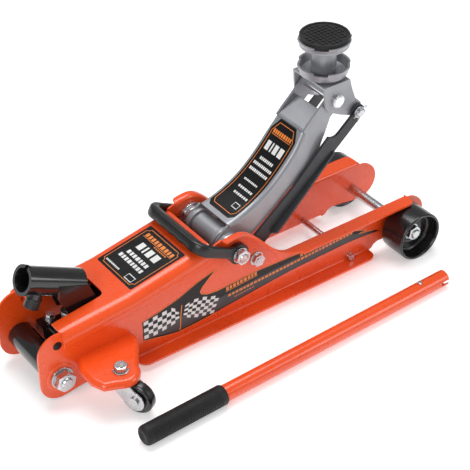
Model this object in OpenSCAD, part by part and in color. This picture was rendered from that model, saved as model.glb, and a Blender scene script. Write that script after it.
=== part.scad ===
// Low-profile hydraulic trolley jack with its lifting saddle, pad adaptor and loose handle.
// +X points to the front wheels, +Y to the left side, +Z is up. The floor is z = 0.

/* [Sub-part] */
// which sub-part to draw

/* [Frame] */
// width over the two side plates
frame_width = 104; // [90:1:120]
// sheet thickness of the side plates
plate_thickness = 3; // [2:0.5:5]
// height of the main arm pivot above the floor
pivot_height = 110; // [95:1:125]
// height of the top flange beside the arm
rail_height = 76; // [70:1:84]
// distance from the pivot back to the rear cross bolt
rear_bolt_back = 263; // [240:1:280]
// height of the rear cross bolt
rear_bolt_height = 37; // [30:1:45]
// radius of the rounded rear end of a side plate
rear_end_radius = 28; // [22:1:30]
// outward width of the front top flange
top_flange_width = 20; // [12:1:24]
// outward width of the bottom flange
bottom_flange_width = 20; // [12:1:24]

/* [Front wheels] */
// distance from the pivot forward to the front axle
axle_forward = 280; // [265:1:285]
// radius of a front wheel, which is also the axle height
wheel_radius = 35.5; // [33:0.5:37]
// width of a front wheel
wheel_width = 41; // [34:1:46]
// radius of the front axle
axle_radius = 7; // [5:0.5:9]
// gap between side plate and wheel, filled by a spacer
wheel_gap = 5.5; // [3:0.5:8]

/* [Arm] */
// arm length from the main pivot to the saddle carrier bolt
arm_length = 231; // [215:1:245]
// arm angle above level as it is stored
arm_angle = 40.5; // [-17.5:0.5:47]
// half width of the arm at its lower end
arm_half_width = 32.5; // [28:0.5:33]
// radius of the arm's pivot tube
tube_radius = 17; // [14:0.5:19]
// radius of the main shaft
shaft_radius = 11; // [8:0.5:13]
// length of the lever below the pivot that the ram pushes
lever_length = 50; // [40:1:55]
// arm angle at which the lever hangs straight down
lever_down_angle = 15.45; // [10:0.05:20]

/* [Link and saddle] */
// forward offset of the link pivots from the arm pivots
link_forward = 33; // [28:1:38]
// downward offset of the link pivots from the arm pivots
link_drop = 26; // [20:1:30]
// height of the saddle carrier's top plate above the arm tip
carrier_rise = 24; // [21:1:28]
// forward offset of the saddle from the arm tip
saddle_forward = 3; // [0:1:6]
// rim radius of the lifting saddle and of the pad adaptor
saddle_radius = 35.3; // [32:0.1:38]
// radius of the rubber pad
pad_radius = 32.3; // [28:0.1:34]
// height of the pad's face above the arm tip
pad_rise = 81; // [70:1:90]

/* [Hydraulics] */
// height of the ram's axis
ram_height = 64; // [60:1:70]
// radius of the ram
ram_radius = 11; // [9:0.5:13]
// outer radius of the hydraulic cylinder
cylinder_radius = 21; // [18:0.5:24]
// outer radius of the oil reservoir
reservoir_radius = 30; // [26:0.5:32]
// radius of the pump plunger
plunger_radius = 6; // [5:0.5:8]

/* [Handle] */
// distance from the main pivot back to the handle socket's pivot
socket_pivot_back = 196; // [190:1:205]
// height of the handle socket's pivot
socket_pivot_height = 88; // [80:1:95]
// upward tilt of the handle socket as it is stored
socket_tilt = 26.9; // [20:0.1:35]
// radius of the socket's bore
socket_bore_radius = 12; // [11.5:0.05:13]
// radius of the flared mouth of the socket
socket_mouth_radius = 15; // [14:0.25:15.5]
// outer radius of the socket
socket_outer_radius = 18; // [17:0.5:20]
// outer radius of the loose handle's tube
handle_radius = 11; // [10:0.25:11.25]
// outer radius of the loose handle's grip
grip_radius = 13.3; // [12.5:0.1:15]
// overall length of the loose handle
handle_length = 496.5; // [450:0.5:550]

/* [Casters] */
// radius of a caster wheel
caster_radius = 22; // [18:0.5:22]
// width of a caster wheel
caster_width = 15; // [12:0.5:20]
// distance from the swivel axis to the caster wheel's axle
caster_trail = 23; // [20:1:24]
// direction of the right caster's trail, measured from +X
right_caster_angle = -64; // [-180:1:180]
// direction of the left caster's trail, measured from +X
left_caster_angle = 152; // [-180:1:180]

/* [Hidden] */
$fn = 64;
half_w = frame_width / 2;
inner_w = half_w - plate_thickness;
tip_x = arm_length * cos(arm_angle);
tip_z = pivot_height + arm_length * sin(arm_angle);
link_x = link_forward;
link_z = pivot_height - link_drop;
rear_x = -rear_bolt_back;
rear_low = rear_end_radius + 5;
rear_high = 75;
nose_radius = 28.5;
nose_x = axle_forward + 15.5;
nose_z = 41.5;
front_x = nose_x + nose_radius;
rod_at_x = 191;
rod_at_z = 17.2;
lever_tilt = arm_angle - lever_down_angle;
lever_x = lever_length * sin(lever_tilt);
lever_z = pivot_height - lever_length * cos(lever_tilt);
lever_pin_radius = 6;
roller_radius = 11;
ram_gap = 0.9;
ram_face = lever_x - roller_radius - ram_gap;
carrier_outer = 32.5;
carrier_wall = 3;
carrier_rear = -21;
link_inner = 33.5;
link_outer = 37.5;
arm_wall = 3;
hump_length = 86;
hump_rise = 63;
cover_rear = -256;
cover_bend = -152;
cover_front = -35;
cover_rear_z = 99.5;
cover_bend_z = 109;
cover_front_z = 132.5;
cover_sheet = 2.5;
cover_out = half_w + cover_sheet;
cover_round = 14;
cover_leg = 21;
bracket_z = 52;
rim_drop = 6.5;
bracket_radius = 24;
caster_x = -208;
caster_y = 103;
socket_x = -socket_pivot_back;
mouth_x = -275;
mouth_z = 159;
rocker_back = 22;
rocker_up = 4;
plunger_x = socket_x - rocker_back;
block_front = -160;
handle_y = -178.1;
handle_rear = -228.1;
handle_yaw = 2.03;
grip_length = 120;
stud_back = 45.5;
handle_slope = asin((grip_radius - handle_radius) / (handle_length - grip_length));
running = 0.05;

// centre of the whole set's footprint, used as the origin
mid_x = (rear_x - rear_end_radius + front_x) / 2;
mid_y = -30.79;

// ---- helpers ----

// moves the set so that the origin is the centre of its footprint
module put() {
  translate([-mid_x, -mid_y, 0]) children();
}

// the child and its mirror image on the other side
module both() {
  children();
  mirror([0, 1, 0]) children();
}

// flat shape drawn in X and Z, thickened from y0 to y1
module side(y0, y1) {
  rotate([90, 0, 0]) translate([0, 0, -y1]) linear_extrude(height = y1 - y0) children();
}

// cylinder along Y
module rod_y(x, z, r, y0, y1) {
  translate([x, y0, z]) rotate([-90, 0, 0]) cylinder(r = r, h = y1 - y0);
}

// cylinder along X
module rod_x(x0, x1, y, z, r) {
  translate([x0, y, z]) rotate([0, 90, 0]) cylinder(r = r, h = x1 - x0);
}

// hexagon nut along Y with a round hole
module nut_y(x, z, r, hole, y0, y1) {
  difference() {
    translate([x, y0, z]) rotate([-90, 0, 0]) cylinder(r = r, h = y1 - y0, $fn = 6);
    rod_y(x, z, hole, y0 - 1, y1 + 1);
  }
}

// ring along Y
module ring_y(x, z, r, hole, y0, y1) {
  difference() {
    rod_y(x, z, r, y0, y1);
    rod_y(x, z, hole, y0 - 1, y1 + 1);
  }
}

// places arm shapes drawn along X with the pivot at the origin
module on_arm() {
  translate([0, 0, pivot_height]) rotate([0, -arm_angle, 0]) children();
}

// places link shapes drawn along X with the lower pivot at the origin
module on_link() {
  translate([link_x, 0, link_z]) rotate([0, -arm_angle, 0]) children();
}

// places socket shapes drawn along X from the mouth inwards
module on_socket() {
  translate([mouth_x, 0, mouth_z]) rotate([0, socket_tilt, 0]) children();
}

// places the loose handle drawn along X from the grip's end
module on_handle() {
  translate([handle_rear, handle_y, grip_radius])
    rotate([0, 0, handle_yaw]) rotate([0, handle_slope, 0])
      translate([0, 0, grip_length * tan(handle_slope)]) children();
}

// top edge of the side plate over the main pivot
function hump(x) = rail_height + hump_rise * (0.5 + 0.5 * cos(180 * x / (x < 0 ? 150 : hump_length)));
function hump_slope(x) = (hump(x + 0.5) - hump(x - 0.5));
hump_steps = [for (i = [0:14]) -33.4 + i * (hump_length + 33.4) / 14];
lip_start = -21;
lip_steps = [for (i = [0:14]) lip_start + i * (hump_length - lip_start) / 14];

// upper surface of the arm's web above the arm's axis
function web_top(s) = s < 95 ? -2 + 20 * pow((95 - s) / 75, 2) : -2 + 11 * pow((s - 95) / 77, 2);
web_steps = [for (i = [0:14]) 20 + i * 152 / 14];

// strip of the arm's web between two heights below its surface
module web_strip(s0, s1, low, high) {
  n = 12;
  st = [for (i = [0:n]) s0 + i * (s1 - s0) / n];
  polygon(concat([for (s = st) [s, web_top(s) + high]],
    [for (i = [n:-1:0]) [st[i], web_top(st[i]) + low]]));
}

// ---- frame ----

module plate_holes(y0, y1) {
  rod_y(0, pivot_height, shaft_radius, y0, y1);
  rod_y(link_x, link_z, 5, y0, y1);
  rod_y(axle_forward, wheel_radius, axle_radius, y0, y1);
  rod_y(rod_at_x, rod_at_z, 4.5, y0, y1);
  rod_y(rear_x, rear_bolt_height, 8, y0, y1);
  rod_y(-263.5, 86, 6, y0, y1);
}

module plate_outline() {
  polygon(concat([[rear_x, 9], [226, 9], [232, 11], [236, 16], [244, 19], [262, 17],
    [280, 14], [nose_x, nose_z - nose_radius]], [[nose_x, nose_z + nose_radius], [290, rail_height]],
    [for (i = [14:-1:0]) [hump_steps[i], hump(hump_steps[i])]],
    [[-33.4, 118], [cover_bend, 94.4], [-256.2, 85], [rear_x, 85]]));
  translate([nose_x, nose_z]) circle(r = nose_radius);
  difference() {
    union() {
      translate([rear_x, rear_low]) circle(r = rear_end_radius);
      translate([rear_x, rear_high]) circle(r = rear_end_radius);
      translate([rear_x - rear_end_radius, rear_low])
        square([2 * rear_end_radius, rear_high - rear_low]);
    }
    translate([-256.2, 85]) square([60, 30]);
  }
}

module side_plate() {
  w0 = -half_w;
  difference() {
    union() {
      side(w0, w0 + plate_thickness) plate_outline();
      translate([0, 0, rail_height - plate_thickness])
        linear_extrude(height = plate_thickness)
          polygon([[80, w0 + 1], [80, w0 - 8], [102, w0 - top_flange_width],
            [280, w0 - top_flange_width], [289, w0 - top_flange_width + 8], [290, w0 + 1]]);
      side(w0 - 8, w0 + 1) polygon(concat(
        [for (x = lip_steps) [x, hump(x)]],
        [for (i = [14:-1:0]) [lip_steps[i], hump(lip_steps[i])
          - plate_thickness * sqrt(1 + pow(hump_slope(lip_steps[i]), 2))]]));
      translate([0, 0, 9]) linear_extrude(height = plate_thickness) union() {
        polygon([[-158, w0 + 1], [-150, w0 - bottom_flange_width],
          [214, w0 - bottom_flange_width], [226, w0 - bottom_flange_width + 12], [226, w0 + 1]]);
        translate([214, w0 - bottom_flange_width + 12]) circle(r = 12);
      }
      // raised rings that seat the rear cross tube and the main shaft
      rod_y(rear_x, rear_bolt_height, 19, w0 - 1.5, w0 + 1);
      rod_y(0, pivot_height, 17, w0 - 0.5, w0 + 1);
    }
    plate_holes(w0 - 5, w0 + 5);
  }
}

module side_plate_right() {
  color("OrangeRed") put() side_plate();
}

module side_plate_left() {
  color("OrangeRed") put() mirror([0, 1, 0]) side_plate();
}

// quarter bend of the cover's section on one side, from the leg up to the top
function bend(r, sgn) = [for (i = [0:8]) [sgn * (cover_out - cover_round + r * cos(i * 11.25)),
  -cover_round + r * sin(i * 11.25)]];

// cross-section of the cover, top surface at zero height
module cover_section() {
  polygon(concat([[cover_out, -cover_leg]], bend(cover_round, 1),
    [for (i = [8:-1:0]) bend(cover_round, -1)[i]], [[-cover_out, -cover_leg]],
    [[-half_w, -cover_leg]], bend(cover_round - cover_sheet, -1),
    [for (i = [8:-1:0]) bend(cover_round - cover_sheet, 1)[i]], [[half_w, -cover_leg]]));
}

module cover_run(x0, z0, x1, z1) {
  run = sqrt(pow(x1 - x0, 2) + pow(z1 - z0, 2));
  tilt = atan((z1 - z0) / (x1 - x0));
  intersection() {
    translate([x0, 0, z0]) rotate([0, -tilt, 0]) translate([-8, 0, 0])
      rotate([90, 0, 90]) linear_extrude(height = run + 16) cover_section();
    translate([x0, -80, 0]) cube([x1 - x0, 160, 200]);
  }
}

module top_cover() {
  color("OrangeRed") put() difference() {
    union() {
      cover_run(cover_rear, cover_rear_z, cover_bend, cover_bend_z);
      cover_run(cover_bend, cover_bend_z, cover_front, cover_front_z);
    }
    // slot for the handle socket, open to the rear
    linear_extrude(height = 200) polygon([[cover_rear - 5, -26.5], [-186, -22.5],
      [-186, 22.5], [cover_rear - 5, 26.5]]);
    translate([-186, -14.5, 0]) cube([8, 29, 200]);
    translate([-186, -14.5, 0]) cylinder(r = 8, h = 200);
    translate([-186, 14.5, 0]) cylinder(r = 8, h = 200);
  }
}

// plan of a caster bracket, drawn in from its edge by inset
module bracket_plan(inset) {
  base = -half_w + (inset > 0 ? 9 : 0);
  polygon([[-238 + inset, base], [-247 + inset, -70], [-247 + inset, -98], [-238 + inset, -117 + inset],
    [-224, -caster_y - bracket_radius + 1.5 + inset], [caster_x, -caster_y - bracket_radius + inset],
    [caster_x + bracket_radius - inset, -caster_y], [-157 - inset, -64], [-157 - inset, base]]);
  translate([caster_x, -caster_y]) circle(r = bracket_radius - inset);
}

module caster_bracket() {
  difference() {
    translate([0, 0, bracket_z - rim_drop]) linear_extrude(height = rim_drop + 3) bracket_plan(0);
    // hollow underside, which leaves the rim turned down along the outer edge
    translate([0, 0, bracket_z - rim_drop - 1]) linear_extrude(height = rim_drop + 1) bracket_plan(3);
    translate([-265, -half_w - 0.01, bracket_z - 20]) cube([130, 12, 40]);
    translate([caster_x, -caster_y, bracket_z - 20]) cylinder(r = 6, h = 40);
  }
}

module caster_bracket_right() {
  color("OrangeRed") put() caster_bracket();
}

module caster_bracket_left() {
  color("OrangeRed") put() mirror([0, 1, 0]) caster_bracket();
}

module rear_cross_tube() {
  color("DimGray") put() ring_y(rear_x, rear_bolt_height, 17, 8, -inner_w, inner_w);
}

module rear_bolt() {
  color("Silver") put() rod_y(rear_x, rear_bolt_height, 8, -70, 70);
}

module rear_nuts() {
  color("Silver") put() both() {
    ring_y(rear_x, rear_bolt_height, 15, 8, -56, -half_w - 1.5);
    nut_y(rear_x, rear_bolt_height, 13.9, 8, -67, -56);
  }
}

module cross_member() {
  color("OrangeRed") put() difference() {
    side(-inner_w, inner_w) translate([-62, 14]) square([4, 66]);
    rod_x(-70, -50, 0, ram_height, cylinder_radius);
    for (y = [-38, 38]) translate([0, y, 0]) rod_x(-70, -50, 0, 66, 8);
  }
}

module front_axle() {
  color("Silver") put() rod_y(axle_forward, wheel_radius, axle_radius, -90, 90);
}

module front_spacers() {
  color("DimGray") put() both()
    ring_y(axle_forward, wheel_radius, 13, axle_radius, -half_w - wheel_gap + 0.3, -half_w);
}

module front_axle_nuts() {
  color("Silver") put() both() {
    ring_y(axle_forward, wheel_radius, 12, axle_radius, -81, -79.3);
    nut_y(axle_forward, wheel_radius, 11.5, axle_radius, -88, -81);
  }
}

module front_cross_rod() {
  color("Silver") put() {
    rod_y(rod_at_x, rod_at_z, 4.5, -60, 60);
    both() ring_y(rod_at_x, rod_at_z, 5.1, 4.5, -54.5, -half_w);
  }
}

module main_shaft() {
  color("Silver") put() {
    rod_y(0, pivot_height, shaft_radius, -half_w - 0.5, half_w + 0.5);
    rod_y(0, pivot_height, 6, -72, 72);
  }
}

module main_shaft_nuts() {
  color("Silver") put() both() {
    ring_y(0, pivot_height, 12.5, 6, -64, -62.6);
    nut_y(0, pivot_height, 11, 6, -71, -64);
  }
}

module pivot_washers() {
  color("Silver") put() both() {
    ring_y(0, pivot_height, 19, shaft_radius, -inner_w, -44);
    ring_y(0, pivot_height, 16, shaft_radius, -44, -40.5);
    ring_y(0, pivot_height, 18, shaft_radius, -40.5, -36.4);
  }
}

module link_bolts() {
  color("Silver") put() both() {
    rod_y(link_x, link_z, 5, -61, -33.2);
    rod_y(link_x, link_z, 8, -inner_w, -38);
    ring_y(link_x, link_z, 10, 5, -53.6, -half_w);
    nut_y(link_x, link_z, 9, 5, -60, -53.6);
  }
}

// ---- hydraulic unit ----

module pump_block() {
  color("Black") put() difference() {
    union() {
      translate([-186, -27, 34]) cube([186 + block_front, 54, 58]);
      translate([-244, -22, 28]) cube([60, 44, 38]);
      translate([-244, 4, 64]) cube([14, 18, 8]);
      translate([-240, -inner_w, 30]) cube([18, 2 * inner_w, 18]);
      both() {
        rod_y(socket_x, socket_pivot_height, 10, -26, -20);
        translate([socket_x - 10, -26, 60]) cube([20, 6, socket_pivot_height - 60]);
      }
    }
    rod_y(socket_x, socket_pivot_height, 6, -40, 40);
    translate([plunger_x, 0, 38]) cylinder(r = plunger_radius + running, h = 40);
    rod_x(-300, -232, -12, 58, 5 + running);
  }
}

module hydraulic_cylinder() {
  color("Black") put() difference() {
    rod_x(block_front, -58, 0, ram_height, cylinder_radius);
    rod_x(-156, -50, 0, ram_height, 14);
  }
}

module cylinder_gland() {
  color("DimGray") put() difference() {
    translate([-58, 0, ram_height]) rotate([0, 90, 0]) cylinder(r = 20, h = 6, $fn = 12);
    rod_x(-70, -40, 0, ram_height, ram_radius + running);
  }
}

module reservoir() {
  color("Black") put() difference() {
    rod_x(block_front, -66, 0, ram_height, reservoir_radius);
    rod_x(-156, -70, 0, ram_height, reservoir_radius - 4);
    rod_x(-170, -60, 0, ram_height, cylinder_radius);
  }
}

module block_screws() {
  color("Silver") put() {
    translate([-214, 14, 66]) cylinder(r = 4, h = 4);
    translate([-232, -15, 66]) cylinder(r = 5, h = 5, $fn = 6);
    translate([-174, 18, 92]) cylinder(r = 5, h = 4, $fn = 6);
    translate([-174, -18, 92]) cylinder(r = 5, h = 4, $fn = 6);
    // oil filler plug
    translate([-237, 13, 72]) cylinder(r = 6.5, h = 3);
    translate([-237, 13, 75]) cylinder(r = 5, h = 5, $fn = 6);
  }
}

module socket_pin() {
  color("Silver") put() {
    rod_y(socket_x, socket_pivot_height, 6, -28, 28);
    both() rod_y(socket_x, socket_pivot_height, 8, -29, -27);
  }
}

module return_springs() {
  color("Silver") put() both() {
    difference() {
      rod_x(-104, -6, -38, lever_z, 4.6);
      rod_x(-103, -7, -38, lever_z, 3.2);
    }
    rod_x(-118, -104, -38, lever_z, 1);
    rod_x(-6, lever_x - 4, -38, lever_z, 1);
    translate([-118, -38, lever_z - 1]) cylinder(r = 1, h = 2);
    translate([-119, -38, lever_z - 1]) cube([2, 7.9, 2]);
  }
}

// ---- lift arm ----

module arm_side() {
  polygon(concat([[0, 19], [14, 19]], [for (s = web_steps) [s, web_top(s)]],
    [[185, 11], [200, 11.5], [231, 13.5]],
    [[231, -14], [210, -14], [192, -24], [168, -35], [120, -33], [52, -30], [20, -26], [0, -19]]));
  circle(r = 19);
  translate([arm_length, 0]) circle(r = 14);
}

module arm_plan(inset) {
  polygon([[-25, -arm_half_width + inset], [148, -arm_half_width + inset],
    [180, -28.5 + inset], [250, -28.5 + inset], [250, 28.5 - inset], [180, 28.5 - inset],
    [148, arm_half_width - inset], [-25, arm_half_width - inset]]);
}

module lift_arm() {
  color("LightSlateGray") put() on_arm() difference() {
    union() {
      intersection() {
        side(-40, 40) arm_side();
        translate([0, 0, -60]) linear_extrude(height = 120) difference() {
          arm_plan(0);
          arm_plan(arm_wall);
        }
      }
      intersection() {
        side(-40, 40) web_strip(20, 172, -arm_wall, 0);
        translate([0, 0, -60]) linear_extrude(height = 120) arm_plan(0);
      }
    }
    rod_y(0, 0, tube_radius, -50, 50);
    rod_y(arm_length, 0, 7 + running, -50, 50);
  }
}

module pivot_tube() {
  color("LightSlateGray") put() ring_y(0, pivot_height, tube_radius, shaft_radius + running, -36, 36);
}

module arm_ramp() {
  color("LightSlateGray") put() on_arm() side(-25.5, 25.5)
    polygon([[172, 9], [172, 5], [206, -2], [209, 2], [176, 9]]);
}

module arm_levers() {
  color("LightSlateGray") put() on_arm() difference() {
    both() side(-29.5, -23.5) union() {
      difference() {
        union() {
          circle(r = 21);
          rotate(-90 - lever_down_angle) translate([0, -16]) square([lever_length, 28]);
          rotate(-90 - lever_down_angle) translate([lever_length, 0]) circle(r = 12);
        }
        circle(r = tube_radius);
      }
    }
    rotate([0, 90 + lever_down_angle, 0]) translate([lever_length, 0, 0])
      rod_y(0, 0, lever_pin_radius, -40, 40);
  }
}

module lever_pin() {
  color("Silver") put() {
    rod_y(lever_x, lever_z, lever_pin_radius, -31, 31);
    rod_y(lever_x, lever_z, 4, -42, 42);
  }
}

module arm_label() {
  color("Black") put() on_arm() intersection() {
    side(-40, 40) web_strip(27, 171, 0.15, 0.6);
    translate([0, 0, -60]) linear_extrude(height = 120)
      polygon([[27, -26], [155, -25], [171, -17], [171, 17], [155, 25], [27, 26]]);
  }
}

module lever_roller() {
  color("Silver") put() ring_y(lever_x, lever_z, roller_radius, lever_pin_radius + running, -21, 21);
}

// ---- tie links ----

module tie_link() {
  difference() {
    union() {
      side(-link_outer, -link_inner) union() {
        circle(r = 12);
        translate([arm_length, 0]) circle(r = 10);
        polygon([[0, 12], [100, 9], [176, 14], [182, 14], [212, 4], [231, 10], [231, -10],
          [210, -11], [40, -11], [0, -12]]);
      }
      intersection() {
        side(-60, -link_inner) polygon([[30, -11], [30, -8], [180, -8], [180, -11]]);
        translate([0, 0, -30]) linear_extrude(height = 60)
          polygon([[34, -link_inner], [42, -46.5], [60, -46.5], [168, -41], [178, -link_inner]]);
      }
    }
    // hollow that clears the carrier bolt's head when the arm is down
    side(-60, -20) union() {
      translate([193, 17]) circle(r = 13);
      translate([193, 4]) square([32, 30]);
    }
    rod_y(0, 0, 5 + running, -60, 0);
    rod_y(arm_length, 0, 6, -60, 0);
  }
}

module tie_link_right() {
  color("DimGray") put() on_link() tie_link();
}

module tie_link_left() {
  color("DimGray") put() on_link() mirror([0, 1, 0]) tie_link();
}

// pin through the carrier's ears, with a washer and a spring clip at each end
module link_pin() {
  color("Silver") put() on_link() {
    rod_y(arm_length, 0, 6, -44, 44);
    both() {
      ring_y(arm_length, 0, 8, 6, -40.5, -39);
      translate([arm_length, -42.4, 0]) rotate([0, 60, 0]) {
        translate([-11, 0, 5.2]) cube([22, 1.2, 1.4]);
        translate([-11, 0, -6.6]) cube([16, 1.2, 1.4]);
        translate([-11.8, 0, -6.6]) cube([1.4, 1.2, 13.2]);
      }
    }
  }
}

// ---- saddle ----

module carrier_outline() {
  polygon([[carrier_rear, carrier_rise], [21, carrier_rise], [24, 12], [31, -7], [40, -16], [43, -26],
    [33, -36], [22, -30], [7, -24], [-12, -14], [carrier_rear + 2, -5]]);
  translate([link_forward, -link_drop]) circle(r = 10);
}

module saddle_carrier() {
  color("LightSlateGray") put() translate([tip_x, 0, tip_z]) difference() {
    union() {
      both() side(-carrier_outer, -carrier_outer + carrier_wall) carrier_outline();
      translate([carrier_rear, -carrier_outer, carrier_rise - carrier_wall])
        cube([21 - carrier_rear, 2 * carrier_outer, carrier_wall]);
    }
    rod_y(0, 0, 7, -50, 50);
    rod_y(link_forward, -link_drop, 6 + running, -50, 50);
    translate([saddle_forward, 0, 0]) cylinder(r = 10, h = 60);
  }
}

module carrier_bolt() {
  color("Silver") put() translate([tip_x, 0, tip_z]) {
    rod_y(0, 0, 7, -33, 33);
    both() {
      rod_y(0, 0, 9, -37, -carrier_outer);
      rod_y(0, 0, 7.5, -38, -37);
    }
  }
}

// four raised lugs around a saddle's rim
module lug_gaps(z, h, r) {
  for (a = [0, 90]) rotate([0, 0, a + 45]) translate([-r - 5, -9, z]) cube([2 * r + 10, 18, h]);
}

module lower_saddle() {
  color("LightSlateGray") put() translate([tip_x + saddle_forward, 0, tip_z + carrier_rise])
    difference() {
      rotate_extrude() polygon([[7.05, -7], [9.9, -7], [9.9, -5.6], [8.4, -5.6], [8.4, -4.2],
        [9.9, -4.2], [9.9, 0.1], [26, 0.1], [31, 3], [saddle_radius - 0.3, 16],
        [saddle_radius - 3.3, 16], [28.5, 5.5], [24, 3.5], [7.05, 3.5]]);
      lug_gaps(12.5, 5, saddle_radius);
    }
}

module saddle_circlip() {
  color("DimGray") put() translate([tip_x + saddle_forward, 0, tip_z + carrier_rise - 5.5])
    difference() {
      cylinder(r = 12.5, h = 1.2);
      translate([0, 0, -1]) cylinder(r = 8.5, h = 4);
      translate([0, -2, -1]) cube([20, 4, 4]);
    }
}

module pad_holder() {
  base = tip_z + carrier_rise + 3.8;
  cup = pad_rise - carrier_rise - 3.8;
  color("LightSlateGray") put() translate([tip_x + saddle_forward, 0, base]) difference() {
    rotate_extrude() polygon([[0, -10], [6.9, -10], [6.9, 0], [14.5, 0], [16.5, 3],
      [16.5, cup - 19], [26, cup - 18], [31, cup - 15], [saddle_radius, cup - 5],
      [pad_radius + 0.15, cup - 5], [pad_radius + 0.15, cup - 14], [0, cup - 14]]);
    lug_gaps(cup - 7.5, 4, saddle_radius);
  }
}

module rubber_pad() {
  low = tip_z + pad_rise - 14;
  color("DimGray") put() translate([tip_x + saddle_forward, 0, low]) {
    difference() {
      cylinder(r = pad_radius, h = 14);
      translate([0, 0, 12.6]) cylinder(r = pad_radius - 3, h = 3);
    }
    for (i = [-4:4]) for (j = [-4:4])
      if (pow(i * 6, 2) + pow(j * 6, 2) < pow(pad_radius - 6.5, 2))
        translate([i * 6, j * 6, 12]) cylinder(r = 2, h = 2);
  }
}

// ---- pump drive ----

module ram() {
  color("Silver") put() {
    rod_x(ram_face - 8, ram_face, 0, ram_height, 14);
    rod_x(-97, ram_face - 7, 0, ram_height, ram_radius);
    rod_x(-107, -97, 0, ram_height, 14 - running);
  }
}

module socket_cheek() {
  polygon([[socket_x + 9, 84], [socket_x + 7, 108], [socket_x, 126], [-236, 142], [-238, 122],
    [-228, 96], [-225, 86], [socket_x, 78]]);
  translate([socket_x, socket_pivot_height]) circle(r = 10);
  translate([plunger_x, socket_pivot_height + rocker_up]) circle(r = 8);
}

module handle_socket() {
  color("Black") put() difference() {
    union() {
      on_socket() {
        rod_x(0, 84, 0, 0, socket_outer_radius);
        rod_x(0, 5, 0, 0, socket_outer_radius + 1.2);
        translate([27, 0, -socket_outer_radius - 5]) cylinder(r = 9, h = 8);
      }
      both() side(-19, -15) socket_cheek();
      rod_y(plunger_x, socket_pivot_height + rocker_up, 5, -18, 18);
    }
    on_socket() {
      rod_x(11, 72, 0, 0, socket_bore_radius);
      translate([-1, 0, 0]) rotate([0, 90, 0])
        cylinder(r1 = socket_mouth_radius + 0.25, r2 = socket_bore_radius, h = 12.01);
      translate([27, 0, -60]) cylinder(r = 4 + running, h = 55);
      translate([-2, -3, 8]) cube([9, 6, 20]);
    }
    rod_y(socket_x, socket_pivot_height, 6 + running, -40, 40);
    // the front underside is cut open between the cheeks
    side(-15, 15) polygon([[-212, 60], [-180, 60], [-180, 104], [-212, 104]]);
  }
}

module clamp_knob() {
  color("DimGray") put() on_socket() translate([27, 0, -socket_outer_radius - 5]) {
    translate([0, 0, -14]) cylinder(r = 10, h = 13.7, $fn = 12);
    translate([0, 0, -10]) cylinder(r = 4, h = 18);
  }
}

module pump_plunger() {
  top = socket_pivot_height + rocker_up - 5 - 0.8;
  color("Silver") put() translate([plunger_x, 0, 0]) {
    translate([0, 0, 50]) cylinder(r = plunger_radius, h = top - 50);
    translate([0, 0, top - 4]) cylinder(r = 9.5, h = 4);
  }
}

module plunger_spring() {
  top = socket_pivot_height + rocker_up - 5 - 0.8 - 4;
  color("Silver") put() translate([plunger_x, 0, 66]) difference() {
    cylinder(r = 8.8, h = top - 66);
    translate([0, 0, -1]) cylinder(r = 6.8, h = 30);
  }
}

module release_valve() {
  color("Silver") put() {
    rod_x(-246, -233, -12, 58, 5);
    translate([-252, -12, 58]) rotate([0, 90, 0]) cylinder(r = 7, h = 7, $fn = 6);
  }
}

// ---- carry handle ----

module carry_handle() {
  bar_x = -57;
  bar_z = 139;
  color("Black") put() difference() {
    union() {
      both() {
        rod_y(0, pivot_height, 13, -62.2, -53);
        side(-62.2, -55.2) polygon([[-5, pivot_height + 12], [bar_x - 8, bar_z + 7],
          [bar_x - 8, bar_z - 7], [bar_x + 8, bar_z - 10], [-2, pivot_height - 12]]);
      }
      side(-62.2, 62.2) polygon([[bar_x - 9, bar_z - 4], [bar_x - 6, bar_z - 8],
        [bar_x + 7, bar_z - 6], [bar_x + 9, bar_z - 2], [bar_x + 8, bar_z + 5],
        [bar_x + 4, bar_z + 8], [bar_x - 5, bar_z + 8], [bar_x - 9, bar_z + 5]]);
    }
    rod_y(0, pivot_height, 6 + running, -80, 80);
  }
}

// ---- wheels ----

module front_wheel() {
  y1 = -half_w - wheel_gap;
  y0 = y1 - wheel_width;
  translate([axle_forward, y1, wheel_radius]) rotate([90, 0, 0]) rotate_extrude()
    polygon([[axle_radius + running, 0], [14, 0], [15, 2], [wheel_radius - 3, 2],
      [wheel_radius - 1, 0], [wheel_radius, 1.5], [wheel_radius, wheel_width - 1.5],
      [wheel_radius - 1, wheel_width], [wheel_radius - 3.5, wheel_width],
      [wheel_radius - 4.5, wheel_width - 2], [wheel_radius - 6, 22], [14, 22], [13.5, 21.4],
      [axle_radius + running, 21.4]]);
}

module front_wheel_right() {
  color("Black") put() front_wheel();
}

module front_wheel_left() {
  color("Black") put() mirror([0, 1, 0]) front_wheel();
}

// fork drawn with its swivel axis on Z and its trail along +X
module caster_fork() {
  top = bracket_z - 0.3;
  leg = caster_width / 2 + 1.2;
  difference() {
    union() {
      translate([0, 0, top - 5]) cylinder(r = 15, h = 5);
      translate([0, 0, top - 6.2]) cylinder(r = 17, h = 1.6);
      both() side(-leg - 2, -leg) union() {
        polygon([[-14, top - 6], [14, top - 6], [16, top - 8], [caster_trail + 12, caster_radius + 6],
          [caster_trail - 8, caster_radius - 11], [-14, top - 12]]);
        translate([caster_trail, caster_radius]) circle(r = 14);
      }
      translate([-14, -leg - 2, top - 7]) cube([25, 2 * leg + 4, 2.5]);
      translate([0, 0, top - 7]) cylinder(r = 6 - running, h = 20);
    }
    rod_y(caster_trail, caster_radius, 4, -40, 40);
  }
  // rivet axle with round heads
  rod_y(caster_trail, caster_radius, 4, -leg - 3, leg + 3);
  both() rod_y(caster_trail, caster_radius, 6.5, -leg - 4.5, -leg - 2);
}

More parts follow.
